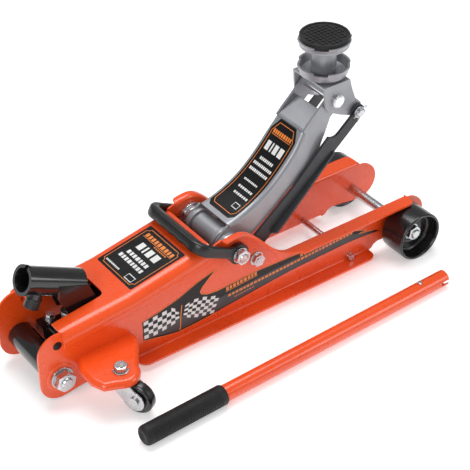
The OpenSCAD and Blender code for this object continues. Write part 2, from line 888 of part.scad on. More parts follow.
module caster_wheel() {
  difference() {
    translate([caster_trail, caster_width / 2, caster_radius]) rotate([90, 0, 0])
      rotate_extrude() polygon([[4 + running, 0], [9, 0], [10, 1.5], [13, 1.5], [14, 0.5],
        [caster_radius - 2, 0.5], [caster_radius, 2.5], [caster_radius, caster_width - 2.5],
        [caster_radius - 2, caster_width - 0.5], [14, caster_width - 0.5],
        [13, caster_width - 1.5], [10, caster_width - 1.5], [9, caster_width],
        [4 + running, caster_width]]);
  }
}

module on_caster(y, angle) {
  translate([caster_x, y, 0]) rotate([0, 0, angle]) children();
}

module caster_right() {
  color("Silver") put() on_caster(-caster_y, right_caster_angle) caster_fork();
}

module caster_left() {
  color("Silver") put() on_caster(caster_y, left_caster_angle) caster_fork();
}

module caster_wheel_right() {
  color("Black") put() on_caster(-caster_y, right_caster_angle) caster_wheel();
}

module caster_wheel_left() {
  color("Black") put() on_caster(caster_y, left_caster_angle) caster_wheel();
}

module caster_nuts() {
  color("Silver") put() both() translate([caster_x, -caster_y, bracket_z + 3]) difference() {
    union() {
      cylinder(r = 10, h = 1.6);
      translate([0, 0, 1.6]) cylinder(r = 9, h = 7, $fn = 6);
    }
    translate([0, 0, -1]) cylinder(r = 6, h = 20);
  }
}

// ---- labels ----

module cover_label() {
  tilt = atan((cover_front_z - cover_bend_z) / (cover_front - cover_bend));
  color("Black") put() translate([cover_bend, 0, cover_bend_z]) rotate([0, -tilt, 0])
    translate([2, -39, 0]) cube([84, 78, 0.4]);
}

module side_decal() {
  side(-half_w - 0.3, -half_w) polygon([[-143, 36], [-88, 20.5], [0, 17.5], [92, 17.5],
    [170, 27], [245, 39], [238, 44], [205, 45], [190, 55], [74, 66], [20, 70], [-52, 70.5],
    [-44, 84], [-32, 93], [-70, 86], [-100, 77], [-142, 63]]);
}

module side_decal_right() {
  color("Black") put() side_decal();
}

module side_decal_left() {
  color("Black") put() mirror([0, 1, 0]) side_decal();
}

// ---- loose handle ----

module handle_tube() {
  color("OrangeRed") put() on_handle() difference() {
    rod_x(100, handle_length, 0, 0, handle_radius);
    rod_x(handle_length - 60, handle_length + 5, 0, 0, handle_radius - 1.8);
    translate([handle_length - 14, -20, -3]) cube([20, 40, 6]);
    translate([handle_length - stud_back, 0, 0]) cylinder(r = 3, h = 30);
  }
}

module handle_grip() {
  color("DimGray") put() on_handle() difference() {
    rod_x(0, grip_length, 0, 0, grip_radius);
    rod_x(100, grip_length + 1, 0, 0, handle_radius);
    for (i = [0:13]) translate([14 + i * 7, 0, 0]) rotate([0, 90, 0]) difference() {
      cylinder(r = grip_radius + 1, h = 2);
      translate([0, 0, -1]) cylinder(r = grip_radius - 0.8, h = 5);
    }
  }
}

module handle_stud() {
  color("Silver") put() on_handle() translate([handle_length - stud_back, 0, handle_radius - 3.5])
    cylinder(r = 3, h = 6.5);
}

side_plate_right();
side_plate_left();
top_cover();
caster_bracket_right();
caster_bracket_left();
rear_cross_tube();
rear_bolt();
rear_nuts();
cross_member();
front_axle();
front_spacers();
front_axle_nuts();
front_cross_rod();
main_shaft();
main_shaft_nuts();
pivot_washers();
link_bolts();
pump_block();
hydraulic_cylinder();
cylinder_gland();
reservoir();
block_screws();
socket_pin();
caster_nuts();
cover_label();
side_decal_right();
side_decal_left();
return_springs();
lift_arm();
pivot_tube();
arm_ramp();
arm_levers();
lever_pin();
arm_label();
lever_roller();
tie_link_right();
tie_link_left();
link_pin();
saddle_carrier();
carrier_bolt();
lower_saddle();
saddle_circlip();
pad_holder();
rubber_pad();
ram();
handle_socket();
clamp_knob();
pump_plunger();
plunger_spring();
release_valve();
carry_handle();
front_wheel_right();
front_wheel_left();
caster_right();
caster_left();
caster_wheel_right();
caster_wheel_left();
handle_tube();
handle_grip();
handle_stud();
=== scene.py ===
# Looks of the trolley jack: finishes on the CAD nodes and the detailed pieces that replace some of them.
import math

import bmesh
import bpy
from mathutils import Matrix, Vector


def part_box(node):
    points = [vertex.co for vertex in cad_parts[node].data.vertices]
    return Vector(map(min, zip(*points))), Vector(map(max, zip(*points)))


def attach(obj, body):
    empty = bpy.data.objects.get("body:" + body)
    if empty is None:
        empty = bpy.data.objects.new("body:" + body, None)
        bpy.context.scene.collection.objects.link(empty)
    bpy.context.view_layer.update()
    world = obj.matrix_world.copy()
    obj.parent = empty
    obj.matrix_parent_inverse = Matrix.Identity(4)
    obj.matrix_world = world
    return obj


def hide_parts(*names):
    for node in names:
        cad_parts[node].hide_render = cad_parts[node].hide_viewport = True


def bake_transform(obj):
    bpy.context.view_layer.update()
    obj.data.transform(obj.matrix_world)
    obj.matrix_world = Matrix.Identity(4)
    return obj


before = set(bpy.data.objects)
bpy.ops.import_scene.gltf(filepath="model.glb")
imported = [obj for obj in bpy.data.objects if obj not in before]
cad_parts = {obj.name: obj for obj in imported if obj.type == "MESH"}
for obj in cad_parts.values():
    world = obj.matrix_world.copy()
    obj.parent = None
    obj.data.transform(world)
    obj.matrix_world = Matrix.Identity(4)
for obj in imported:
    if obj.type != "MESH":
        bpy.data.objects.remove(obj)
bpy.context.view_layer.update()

MM = 0.001
MERGE = 0.00001  # vertices closer together than this, in metres, become one
SIDES = ((-1, "right"), (1, "left"))

# ---- the jack's own frame, in millimetres: +X forward, main pivot over x = 0, y = 0 in the middle ----

PIVOT_Z = 110.0
SHAFT_LOW, SHAFT_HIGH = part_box("main_shaft")
SHAFT_MID = (SHAFT_LOW + SHAFT_HIGH) / 2
ORIGIN = Vector((SHAFT_MID.x, SHAFT_MID.y, SHAFT_MID.z - PIVOT_Z * MM))

HALF_WIDTH = 52.0
PLATE = 3.0
WEB_Y = HALF_WIDTH - PLATE / 2
AXLE_X, AXLE_Z = 280.0, 35.5
REAR_X, REAR_Z = -263.0, 37.0
NOSE_X, NOSE_Z, NOSE_R = 295.5, 41.5, 28.5
ARM_LENGTH, ARM_ANGLE = 231.0, math.radians(40.5)
LINK_X, LINK_Z = 33.0, 84.0
CASTER_X, CASTER_Y, BRACKET_Z = -208.0, 103.0, 52.0
NEAR = 0.01  # a station this close to an edge counts as on it
AXIS_R = 0.01  # radius at which a turned profile starts, next to its axis


def V(x, y, z):
    """A point of the jack, given in millimetres, in the frame's metres."""
    return ORIGIN + Vector((x, y, z)) * MM


def arm(s, y, n):
    """A point on the arm: s along it from the pivot, n square to it."""
    return V(s * math.cos(ARM_ANGLE) - n * math.sin(ARM_ANGLE), y,
             PIVOT_Z + s * math.sin(ARM_ANGLE) + n * math.cos(ARM_ANGLE))


def lerp(a, b, t):
    return a + (b - a) * t


def steps(a, b, n):
    return [lerp(a, b, i / n) for i in range(n + 1)]


def smooth(t):
    t = min(max(t, 0.0), 1.0)
    return t * t * (3 - 2 * t)


def on_circle(centre_u, centre_v, radius, degrees):
    a = math.radians(degrees)
    return centre_u + radius * math.cos(a), centre_v + radius * math.sin(a)


# ---- finishes ----

NOISE_LOW, NOISE_HIGH = 0.3, 0.7
FLECK_SCALE = 2600.0


def socket(node, name, value):
    node.inputs[name].default_value = value


def finish(name, dark, light, blotch=18.0, rough=(0.3, 0.4), rough_scale=60.0, grain=900.0,
           depth=0.00002, strength=0.3, speck=0.0, **shader):
    """A procedural finish: two tones in soft blotches, uneven gloss and a fine surface grain."""
    material = bpy.data.materials.new(name)
    material.use_nodes = True
    tree = material.node_tree
    bsdf = tree.nodes["Principled BSDF"]
    for key, value in shader.items():
        socket(bsdf, key.replace("_", " "), value)
    where = tree.nodes.new("ShaderNodeTexCoord")

    def noise(scale, detail):
        node = tree.nodes.new("ShaderNodeTexNoise")
        socket(node, "Scale", scale)
        socket(node, "Detail", detail)
        tree.links.new(where.outputs["Object"], node.inputs["Vector"])
        return node.outputs["Fac"]

    def remap(source, low, high):
        node = tree.nodes.new("ShaderNodeMapRange")
        for end, from_value, to_value in (("Min", NOISE_LOW, low), ("Max", NOISE_HIGH, high)):
            socket(node, "From " + end, from_value)
            socket(node, "To " + end, to_value)
        tree.links.new(source, node.inputs["Value"])
        return node.outputs["Result"]

    # The mix node's colour sockets share their names with the others, so they are picked by number.
    mix = tree.nodes.new("ShaderNodeMix")
    mix.data_type = "RGBA"
    mix.inputs[6].default_value = (*dark, 1)
    mix.inputs[7].default_value = (*light, 1)
    tree.links.new(remap(noise(blotch, 4), 0, 1), mix.inputs[0])
    colour = mix.outputs[2]
    if speck:
        fleck = tree.nodes.new("ShaderNodeTexVoronoi")
        socket(fleck, "Scale", FLECK_SCALE)
        tree.links.new(where.outputs["Object"], fleck.inputs["Vector"])
        bright = tree.nodes.new("ShaderNodeMapRange")
        socket(bright, "To Min", 1 - speck)
        socket(bright, "To Max", 1 + speck)
        tree.links.new(fleck.outputs["Distance"], bright.inputs["Value"])
        scale = tree.nodes.new("ShaderNodeVectorMath")
        scale.operation = "SCALE"
        tree.links.new(colour, scale.inputs[0])
        tree.links.new(bright.outputs["Result"], scale.inputs["Scale"])
        colour = scale.outputs["Vector"]
    tree.links.new(colour, bsdf.inputs["Base Color"])
    tree.links.new(remap(noise(rough_scale, 3), *rough), bsdf.inputs["Roughness"])
    bump = tree.nodes.new("ShaderNodeBump")
    socket(bump, "Strength", strength)
    socket(bump, "Distance", depth)
    tree.links.new(noise(grain, 2), bump.inputs["Height"])
    tree.links.new(bump.outputs["Normal"], bsdf.inputs["Normal"])
    return material


ORANGE = finish("orange_enamel", (0.77, 0.067, 0.006), (0.85, 0.083, 0.008), blotch=9,
                rough=(0.24, 0.34), grain=420, depth=0.00003, strength=0.15, Coat_Weight=0.4,
                Coat_Roughness=0.1)
SILVER = finish("silver_grey_paint", (0.285, 0.29, 0.312), (0.355, 0.36, 0.382), rough=(0.36, 0.46),
                speck=0.12, grain=1100, depth=0.00003, strength=0.25, Metallic=0.55, Coat_Weight=0.25,
                Coat_Roughness=0.2)
DARK_GREY = finish("dark_grey_paint", (0.030, 0.032, 0.036), (0.046, 0.048, 0.053), rough=(0.38, 0.5),
                   grain=900, depth=0.00004, Metallic=0.2)
BLACK = finish("black_enamel", (0.004, 0.004, 0.005), (0.008, 0.008, 0.009), rough=(0.14, 0.26), grain=260,
               depth=0.00012, strength=0.25, Coat_Weight=0.6, Coat_Roughness=0.08)
ZINC = finish("bright_zinc", (0.55, 0.565, 0.59), (0.63, 0.64, 0.655), blotch=90, rough=(0.2, 0.32),
              rough_scale=300, grain=2400, depth=0.00001, Metallic=1.0)
CHROME = finish("chrome", (0.72, 0.73, 0.75), (0.80, 0.81, 0.82), blotch=80, rough=(0.06, 0.14),
                rough_scale=120, grain=1500, depth=0.000004, strength=0.1, Metallic=1.0)
STEEL = finish("worn_steel", (0.30, 0.30, 0.31), (0.46, 0.46, 0.46), blotch=120, rough=(0.3, 0.5),
               rough_scale=200, grain=1800, depth=0.00002, Metallic=1.0)
PLASTIC = finish("black_moulded_plastic", (0.006, 0.006, 0.007), (0.011, 0.011, 0.012), rough=(0.28, 0.4),
                 grain=1700, depth=0.00005, strength=0.35, Coat_Weight=0.1, Coat_Roughness=0.3)
WHEEL = finish("wheel_nylon", (0.005, 0.005, 0.006), (0.009, 0.009, 0.010), rough=(0.2, 0.3), grain=800,
               depth=0.00002, strength=0.2, Coat_Weight=0.3, Coat_Roughness=0.15)
RUBBER = finish("black_rubber", (0.006, 0.006, 0.007), (0.012, 0.012, 0.013), rough=(0.5, 0.66), grain=1500,
                depth=0.00008, strength=0.5, Specular_IOR_Level=0.35)
FILM_BLACK = finish("black_label_film", (0.003, 0.003, 0.004), (0.005, 0.005, 0.006), rough=(0.26, 0.34),
                    grain=500, depth=0.00001, strength=0.1, Specular_IOR_Level=0.3)
FILM_WHITE = finish("white_print", (0.66, 0.66, 0.65), (0.78, 0.78, 0.77), rough=(0.3, 0.4), grain=500,
                    depth=0.00001, strength=0.1)
FILM_ORANGE = finish("orange_print", (0.74, 0.20, 0.03), (0.82, 0.25, 0.045), rough=(0.3, 0.4), grain=500,
                     depth=0.00001, strength=0.1)
FILM_GREY = finish("grey_print", (0.035, 0.036, 0.040), (0.050, 0.052, 0.056), rough=(0.3, 0.4), grain=500,
                   depth=0.00001, strength=0.1)

# ---- mesh tools ----

def piece(name, verts, faces, material, body, slot, replaces=(), sharp=35.0):
    """A new piece of the object from vertices in metres. It rides on a body, unless body is None."""
    mesh = bpy.data.meshes.new(name)
    build = bmesh.new()
    made = [build.verts.new(v) for v in verts]
    for face in faces:
        corners = []
        for i in face:
            if made[i] not in corners:
                corners.append(made[i])
        if len(corners) > 2:
            try:
                build.faces.new(corners)
            except ValueError:
                pass
    bmesh.ops.remove_doubles(build, verts=build.verts, dist=MERGE)
    bmesh.ops.recalc_face_normals(build, faces=build.faces)
    build.to_mesh(mesh)
    build.free()
    obj = bpy.data.objects.new(name, mesh)
    bpy.context.scene.collection.objects.link(obj)
    mesh.materials.append(material)
    shade(mesh, sharp)
    if body:
        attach(obj, body)
    if replaces:
        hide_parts(*replaces)
    return obj


def shade(mesh, sharp):
    for polygon in mesh.polygons:
        polygon.use_smooth = True
    if sharp:
        mesh.set_sharp_from_angle(angle=math.radians(sharp))


def sheet_faces(rows):
    """Vertices and faces of a grid of points, where a missing point leaves a gap."""
    verts, faces, index = [], [], []
    for row in rows:
        line = []
        for point in row:
            if point is None:
                line.append(None)
            else:
                line.append(len(verts))
                verts.append(point)
        index.append(line)
    for a, b in zip(index, index[1:]):
        for i in range(min(len(a), len(b)) - 1):
            quad = (a[i], a[i + 1], b[i + 1], b[i])
            if None not in quad:
                faces.append(quad)
    return verts, faces


def sheet(name, rows, thickness, edge, material, body, slot, replaces=()):
    """Sheet metal from the grid of its middle surface."""
    thicken(piece(name, *sheet_faces(rows), material, body, slot, replaces, sharp=0), thickness, edge)


def thicken(obj, thickness, edge):
    """Give a middle surface its thickness, and round its edges."""
    solid = obj.modifiers.new("sheet", "SOLIDIFY")
    solid.thickness = thickness * MM
    solid.offset = 0
    solid.use_even_offset = True
    round_edges(obj, edge, 50)


def round_edges(obj, width, angle):
    bevel = obj.modifiers.new("edges", "BEVEL")
    bevel.width = width * MM
    bevel.segments = 2
    bevel.limit_method = "ANGLE"
    bevel.angle_limit = math.radians(angle)
    normals = obj.modifiers.new("normals", "WEIGHTED_NORMAL")
    normals.keep_sharp = True


def frame_of(centre, axis, start=None):
    """Matrix that takes local Z to an axis, at a place."""
    z = Vector(axis).normalized()
    x = Vector(start) if start else (Vector((1, 0, 0)) if abs(z.x) < 0.9 else Vector((0, 1, 0)))
    x = (x - z * x.dot(z)).normalized()
    return Matrix.Translation(centre) @ Matrix((x, z.cross(x), z)).transposed().to_4x4()


def outward(x, y, z, side, start=None):
    """frame_of at y on one side of the jack, pointing away from the jack's middle."""
    return frame_of(V(x, side * y, z), (0, side, 0), start)


def crosswise(x, z):
    """frame_of in the middle of the jack, pointing to its left."""
    return frame_of(V(x, 0, z), (0, 1, 0))


def ring_faces(count, n, caps=True):
    """Faces of the skin over count rings of n points, with a cap at each end."""
    faces = []
    for k in range(count - 1):
        for i in range(n):
            j = (i + 1) % n
            faces.append((k * n + i, k * n + j, (k + 1) * n + j, (k + 1) * n + i))
    if caps:
        faces += [tuple(range(n)), tuple((count - 1) * n + i for i in range(n))]
    return faces


def rings(sections, place, caps=True):
    """A skin over rings of points given in millimetres in a local frame."""
    verts = [place @ (Vector(p) * MM) for section in sections for p in section]
    return verts, ring_faces(len(sections), len(sections[0]), caps)


def turned(profile, place, n=72):
    """A turned shape from pairs of radius and height. A profile that ends where it starts has no caps."""
    angles = [2 * math.pi * i / n for i in range(n)]
    sections = [[(r * math.cos(a), r * math.sin(a), h) for a in angles] for r, h in profile]
    return rings(sections, place, caps=profile[0] != profile[-1])


def soften(profile, radius, n=3):
    """The profile with its corners rounded."""
    out = [profile[0]]
    for before, corner, after in zip(profile, profile[1:], profile[2:]):
        a, b, c = Vector(before), Vector(corner), Vector(after)
        la, lc = (a - b).length, (c - b).length
        if min(la, lc) < 1e-6:
            out.append(corner)
            continue
        cut = min(radius, la * 0.45, lc * 0.45)
        p, q = b + (a - b) * (cut / la), b + (c - b) * (cut / lc)
        for i in range(n + 1):
            t = i / n
            out.append(tuple(p * (1 - t) ** 2 + b * 2 * t * (1 - t) + q * t * t))
    out.append(profile[-1])
    return out


def merge(*parts):
    verts, faces = [], []
    for v, f in parts:
        base = len(verts)
        verts += list(v)
        faces += [tuple(i + base for i in face) for face in f]
    return verts, faces


def hexagon(across, height, hole, place):
    """A hexagon nut with chamfered corners. across is over the flats."""
    flat = across / 2
    chamfer, per_side = 0.58, 8
    n = 6 * per_side
    low, side_low, side_high, top, inner_top, inner_low = [], [], [], [], [], []
    for i in range(n):
        a = 2 * math.pi * i / n
        r = flat / math.cos((a % (math.pi / 3)) - math.pi / 6)
        drop = (r - flat) * chamfer
        c, s = math.cos(a), math.sin(a)
        low.append((flat * 0.97 * c, flat * 0.97 * s, 0))
        side_low.append((r * c, r * s, drop + 0.15))
        side_high.append((r * c, r * s, height - drop - 0.15))
        top.append((flat * 0.95 * c, flat * 0.95 * s, height))
        inner_top.append((hole * c, hole * s, height))
        inner_low.append((hole * c, hole * s, 0))
    return rings([low, side_low, side_high, top, inner_top, inner_low, low], place, caps=False)


def thread(radius, length, place):
    """A threaded bolt end with a chamfered tip."""
    pitch, root = 1.5, radius * 0.9
    profile = [(root, 0)]
    for i in range(int((length - 1.2) / pitch)):
        z = i * pitch
        profile += [(root, z + 0.1), (radius, z + pitch * 0.45), (radius, z + pitch * 0.6)]
    profile += [(root, length - 1.1), (radius * 0.78, length)]
    return turned(profile, place, 28)


def washer(outer, hole, height, place):
    profile = [(hole, 0), (outer, 0), (outer, height), (hole, height), (hole, 0)]
    return turned(soften(profile, 0.3), place, 56)


def bar(radius, low, high, corner, place, n=56):
    """A round bar between two heights, with its rims rounded."""
    profile = [(AXIS_R, low), (radius, low), (radius, high), (AXIS_R, high)]
    return turned(soften(profile, corner) if corner else profile, place, n)


def tube(path, radius):
    """A round wire along points in metres."""
    points = [Vector(p) for p in path]
    around = 8
    verts, normal = [], None
    for i, p in enumerate(points):
        along = (points[min(i + 1, len(points) - 1)] - points[max(i - 1, 0)]).normalized()
        if normal is None:
            normal = along.orthogonal().normalized()
        normal = (normal - along * normal.dot(along)).normalized()
        side = along.cross(normal)
        for k in range(around):
            a = 2 * math.pi * k / around
            verts.append(p + (normal * math.cos(a) + side * math.sin(a)) * radius * MM)
    return verts, ring_faces(len(points), around)


def slab(outline, low, high, place):
    """A flat plate from an outline, between two heights. place maps (u, v, height) to metres."""
    n = len(outline)
    verts = [place(u, v, low) for u, v in outline] + [place(u, v, high) for u, v in outline]
    faces = [tuple(range(n)), tuple(range(n, 2 * n))]
    faces += [(i, (i + 1) % n, n + (i + 1) % n, n + i) for i in range(n)]
    return verts, faces


def both_sides(make):
    """The same thing made for the right (-1) and left (1) sides, as one mesh."""
    return merge(make(-1), make(1))

# ---- side plates ----

# The hump rises over the main pivot. The lip is the flange along the top edge, the foot the one below.
RAIL_TOP, HUMP_HEIGHT = 76.0, 63.0
HUMP_REACH, HUMP_START, HUMP_END = 150.0, -33.4, 86.0
REAR_STEP, REAR_R = -256.2, 28.0
LIP_START, LIP_END = -21.0, 290.0
FOOT_START, FOOT_END = -158.0, 226.0
BEND = 4.0


def hump(x):
    reach = HUMP_REACH if x < 0 else HUMP_END
    return RAIL_TOP + HUMP_HEIGHT * (0.5 + 0.5 * math.cos(math.pi * x / reach))


def line(x, points):
    for (x0, z0), (x1, z1) in zip(points, points[1:]):
        if x <= x1:
            return lerp(z0, z1, (x - x0) / (x1 - x0))
    return points[-1][1]


def arc(x, centre_x, centre_z, radius, sign):
    return centre_z + sign * math.sqrt(max(radius ** 2 - (x - centre_x) ** 2, 0))


def plate_top(x):
    if x < REAR_STEP:
        return arc(x, REAR_X, 75, REAR_R, 1)
    if x < HUMP_START:
        return line(x, [(REAR_STEP, 85), (-152, 94.4), (HUMP_START, 118)])
    if x < HUMP_END:
        return hump(x)
    if x < LIP_END:
        return RAIL_TOP
    if x <= NOSE_X:
        return line(x, [(LIP_END, RAIL_TOP), (NOSE_X, 70)])
    return arc(x, NOSE_X, NOSE_Z, NOSE_R, 1)


def plate_bottom(x):
    if x < REAR_X:
        return arc(x, REAR_X, 33, REAR_R, -1)
    if x > NOSE_X:
        return arc(x, NOSE_X, NOSE_Z, NOSE_R, -1)
    return line(x, [(REAR_X, 5), (-258, 5.4), (-246, 7), (-235, 9), (FOOT_END, 9), (232, 11), (236, 16),
                    (244, 19), (262, 17), (280, 14), (NOSE_X, 13)])


def eased(width, corner, inside):
    """Width of a flange near its rounded end, inside being the distance from that end."""
    if inside >= corner:
        return width
    return width - corner + math.sqrt(max(corner ** 2 - (corner - inside) ** 2, 0))


def top_flange(x):
    """Width of the flange along the top edge, or None where there is none."""
    if not LIP_START - NEAR <= x <= LIP_END + NEAR:
        return None
    width = lerp(8.0, 20.0, smooth((x - 80) / 24))
    return eased(width, 9, LIP_END - x) if x > 281 else eased(width, 5, x - LIP_START + 0.3)


def bottom_flange(x):
    if not FOOT_START - NEAR <= x <= FOOT_END + NEAR:
        return None
    return min(eased(20, 13, x - FOOT_START), eased(20, 12, FOOT_END - x))


def flange(width, level, turn):
    """Section of a flange in (y, z), from its free edge round the bend to the web."""
    r = min(BEND, width + PLATE / 2)
    points = [(y, level) for y in steps(HALF_WIDTH + width, WEB_Y + r, 4)[:-1]]
    for degrees in range(90, -1, -18):
        a = math.radians(degrees)
        points.append((WEB_Y + r - r * math.cos(a), level + turn * (r - r * math.sin(a))))
    return points


def plate_row(x, side):
    """Points of the plate's middle surface at one station, from the bottom flange to the top one."""
    top_width, bottom_width = top_flange(x), bottom_flange(x)
    low, high = plate_bottom(x), plate_top(x)
    slope = math.hypot(1, (hump(x + 0.5) - hump(x - 0.5))) if LIP_START <= x < HUMP_END else 1
    foot, lip = [None] * 9, [None] * 9
    if bottom_width is not None:
        foot = flange(bottom_width, low + PLATE / 2, 1)
        low = foot.pop()[1]
    if top_width is not None:
        lip = flange(top_width, high - PLATE / 2 * slope, -1)
        high = lip.pop()[1]
    section = foot + [(WEB_Y, z) for z in steps(low, high, 12)] + lip[::-1]
    return [V(x, side * p[0], p[1]) if p else None for p in section]


def stations():
    xs = [REAR_X + REAR_R * math.cos(math.radians(a)) for a in range(180, 90, -6)]
    xs[0] += 0.05
    xs += [REAR_X, -260, -258, REAR_STEP - 0.05, REAR_STEP] + steps(-250, -160, 9)
    xs += [FOOT_START, -157.5, -156.5, -155, -152, -148, -144] + steps(-136, -40, 8)
    xs += [HUMP_START, -33.35, -28, LIP_START - 0.02, LIP_START, -20.5, -19, -17]
    xs += steps(-14, HUMP_END, 34) + steps(89, 110, 7) + steps(116, 212, 12)
    xs += [214, 217, 220, 222.5, 224.5, 225.6, FOOT_END, 226.02, 229, 232, 234, 236, 240, 244, 250, 256,
           262, 268, 274, 280, 281, 283, 285.5, 287.5, 289, 289.7, LIP_END, 290.02, 293, NOSE_X]
    xs += [NOSE_X + NOSE_R * math.sin(math.radians(a)) for a in range(8, 90, 7)]
    return xs + [NOSE_X + NOSE_R - 0.05]


for side, label in SIDES:
    sheet(f"side_plate_{label}_sheet", [plate_row(x, side) for x in stations()], PLATE, 0.7, ORANGE,
          "chassis", "orange_paint", [f"side_plate_{label}"])


def seats(x, z, outer, hole, proud):
    """Raised round seats pressed out of both plates."""
    profile = [(hole, 0), (outer + proud, 0), (outer, proud), (hole, proud), (hole, 0)]
    return both_sides(lambda side: turned(soften(profile, 1.2), outward(x, HALF_WIDTH, z, side)))


piece("rear_tube_seats", *seats(REAR_X, REAR_Z, 19, 7.5, 1.5), ORANGE, "chassis", "orange_paint")

# ---- top cover ----

COVER_REAR, COVER_BEND, COVER_FRONT = -256.0, -152.0, -35.0
COVER_Z = (99.5, 109.0, 132.5)  # at the rear end, the bend and the front end
COVER_SHEET, COVER_ROUND, COVER_LEG = 2.5, 14.0, 21.0
SLOT_END, SLOT_CORNER, SLOT_HALF = -178.0, 8.0, 14.5


def cover_top(x):
    rear = (COVER_Z[1] - COVER_Z[0]) / (COVER_BEND - COVER_REAR)
    front = (COVER_Z[2] - COVER_Z[1]) / (COVER_FRONT - COVER_BEND)
    reach = 7.0
    d = x - COVER_BEND
    if abs(d) < reach:
        return COVER_Z[1] + rear * d + (front - rear) * (d + reach) ** 2 / (4 * reach)
    return COVER_Z[1] + (rear if d < 0 else front) * d


def slot_half(x):
    if x >= SLOT_END - NEAR:
        return SLOT_HALF
    if x > SLOT_END - SLOT_CORNER:
        return SLOT_HALF + math.sqrt(SLOT_CORNER ** 2 - (x - SLOT_END + SLOT_CORNER) ** 2)
    return lerp(26.2, 22.5, (x - COVER_REAR) / (SLOT_END - SLOT_CORNER - COVER_REAR))


def cover_row(x, middle):
    out = HALF_WIDTH + COVER_SHEET / 2
    r = COVER_ROUND - COVER_SHEET / 2
    top = cover_top(x) - COVER_SHEET / 2
    half = [(out, z) for z in steps(top - COVER_LEG + COVER_SHEET / 2, top - r, 4)[:-1]]
    half += [on_circle(out - r, top - r, r, a) for a in range(0, 91, 10)]
    inner = slot_half(x)
    half += [(y, top) for y in steps(out - r, inner, 5)[1:]]
    row = [V(x, -y, z) for y, z in half]
    row += [V(x, y, top) if middle else None for y in steps(-inner, inner, 6)[1:-1]]
    return row + [V(x, y, z) for y, z in reversed(half)]


cover_xs = steps(COVER_REAR, SLOT_END - SLOT_CORNER, 14)
cover_xs += [SLOT_END - SLOT_CORNER + SLOT_CORNER * math.sin(math.radians(a)) for a in range(12, 84, 12)]
cover_xs += [SLOT_END] + steps(-174, -146, 14) + steps(-140, COVER_FRONT, 16)
sheet("top_cover_sheet", [cover_row(x, x > SLOT_END - NEAR) for x in cover_xs], COVER_SHEET, 0.7, ORANGE,
      "chassis", "orange_paint", ["top_cover"])

# ---- lift arm ----

ARM_SHEET, ARM_BEND = 3.0, 4.5
WEB_START, WEB_END = 20.0, 172.0  # the web joins the two cheeks between these
ROOT_R, TIP_R = 19.0, 14.0


def web_top(s):
    return -2 + 20 * ((95 - s) / 75) ** 2 if s < 95 else -2 + 11 * ((s - 95) / 77) ** 2


def arm_top(s):
    if s <= 0:
        return arc(s, 0, 0, ROOT_R, 1)
    if s < 14:
        return ROOT_R
    if s < WEB_START:
        return lerp(ROOT_R, web_top(WEB_START), (s - 14) / 6)
    if s <= WEB_END:
        return web_top(s)
    if s <= ARM_LENGTH:
        return line(s, [(WEB_END, 9), (185, 11), (200, 11.5), (ARM_LENGTH, 13.9)])
    return arc(s, ARM_LENGTH, 0, TIP_R, 1)


def arm_bottom(s):
    if s < 0:
        return arc(s, 0, 0, ROOT_R, -1)
    if s > ARM_LENGTH:
        return arc(s, ARM_LENGTH, 0, TIP_R, -1)
    return line(s, [(0, -19), (20, -26), (52, -30), (120, -33), (168, -35), (192, -24), (210, -14),
                    (ARM_LENGTH, -13.9)])


def arm_half(s):
    return lerp(32.5, 28.5, smooth((s - 140) / 44)) - ARM_SHEET / 2


def arm_row(s, web):
    y, top, low = arm_half(s), arm_top(s), arm_bottom(s)
    high = top - ARM_SHEET / 2 - ARM_BEND if web else top
    half = [(y, n) for n in steps(low, high, 10)]
    if web:
        level = top - ARM_SHEET / 2
        half += [on_circle(y - ARM_BEND, level - ARM_BEND, ARM_BEND, a) for a in range(18, 91, 18)]
        half += [(v, level) for v in steps(y - ARM_BEND, 8, 3)[1:]]
        middle = [arm(s, v, level) for v in (-3, 3)]
    else:
        half += [None] * 8
        middle = [None, None]
    left = [arm(s, -p[0], p[1]) if p else None for p in half]
    right = [arm(s, p[0], p[1]) if p else None for p in reversed(half)]
    return left + middle + right


arm_ss = [0.05 - ROOT_R] + [-ROOT_R * math.cos(math.radians(a)) for a in range(15, 90, 15)]
arm_ss += [0, 5, 10, 14, 17, WEB_START - 0.02] + steps(WEB_START, WEB_END, 40)
arm_ss += [WEB_END + 0.02, 178, 185, 192, 200, 210, 220, ARM_LENGTH]
arm_ss += [ARM_LENGTH + TIP_R * math.sin(math.radians(a)) for a in range(15, 90, 15)]
arm_ss += [ARM_LENGTH + TIP_R - 0.05]
arm_rows = [arm_row(s, WEB_START - NEAR <= s <= WEB_END + NEAR) for s in arm_ss]
sheet("lift_arm_sheet", arm_rows, ARM_SHEET, 0.8, SILVER, "arm", "grey_paint", ["lift_arm"])

# ---- wheels ----

WHEEL_R, WHEEL_WIDTH, WHEEL_GAP = 35.5, 41.0, 5.5
CASTER_R, TRAIL = 22.0, 23.0


def front_wheel(side):
    r, w = WHEEL_R, WHEEL_WIDTH
    profile = [(7.1, 0), (14, 0), (15, 2), (r - 4, 2), (r - 1.5, 0.2), (r, 1.6), (r, w - 1.6), (r - 1.2, w),
               (r - 3.2, w), (r - 4.4, w - 2.2), (r - 5.6, 24), (r - 8, 22.2), (17, 22.2), (15, 21.4),
               (7.1, 21.4), (7.1, 0)]
    return turned(soften(profile, 1.3), outward(AXLE_X, HALF_WIDTH + WHEEL_GAP, AXLE_Z, side), 128)


for side, label in SIDES:
    piece(f"front_wheel_{label}_turned", *front_wheel(side), WHEEL, f"wheel_{label}", "black_plastic",
          [f"front_wheel_{label}"])


def caster_wheel(side, angle):
    half = [(4.05, -7.5), (9, -7.5), (10, -6), (13, -6), (14.2, -7), (CASTER_R - 2.5, -7), (CASTER_R, -4.5)]
    profile = half + [(r, -h) for r, h in reversed(half)] + [half[0]]
    centre = V(*on_circle(CASTER_X, side * CASTER_Y, TRAIL, angle), CASTER_R)
    axle = (-math.sin(math.radians(angle)), math.cos(math.radians(angle)), 0)
    return turned(soften(profile, 1.1), frame_of(centre, axle), 96)


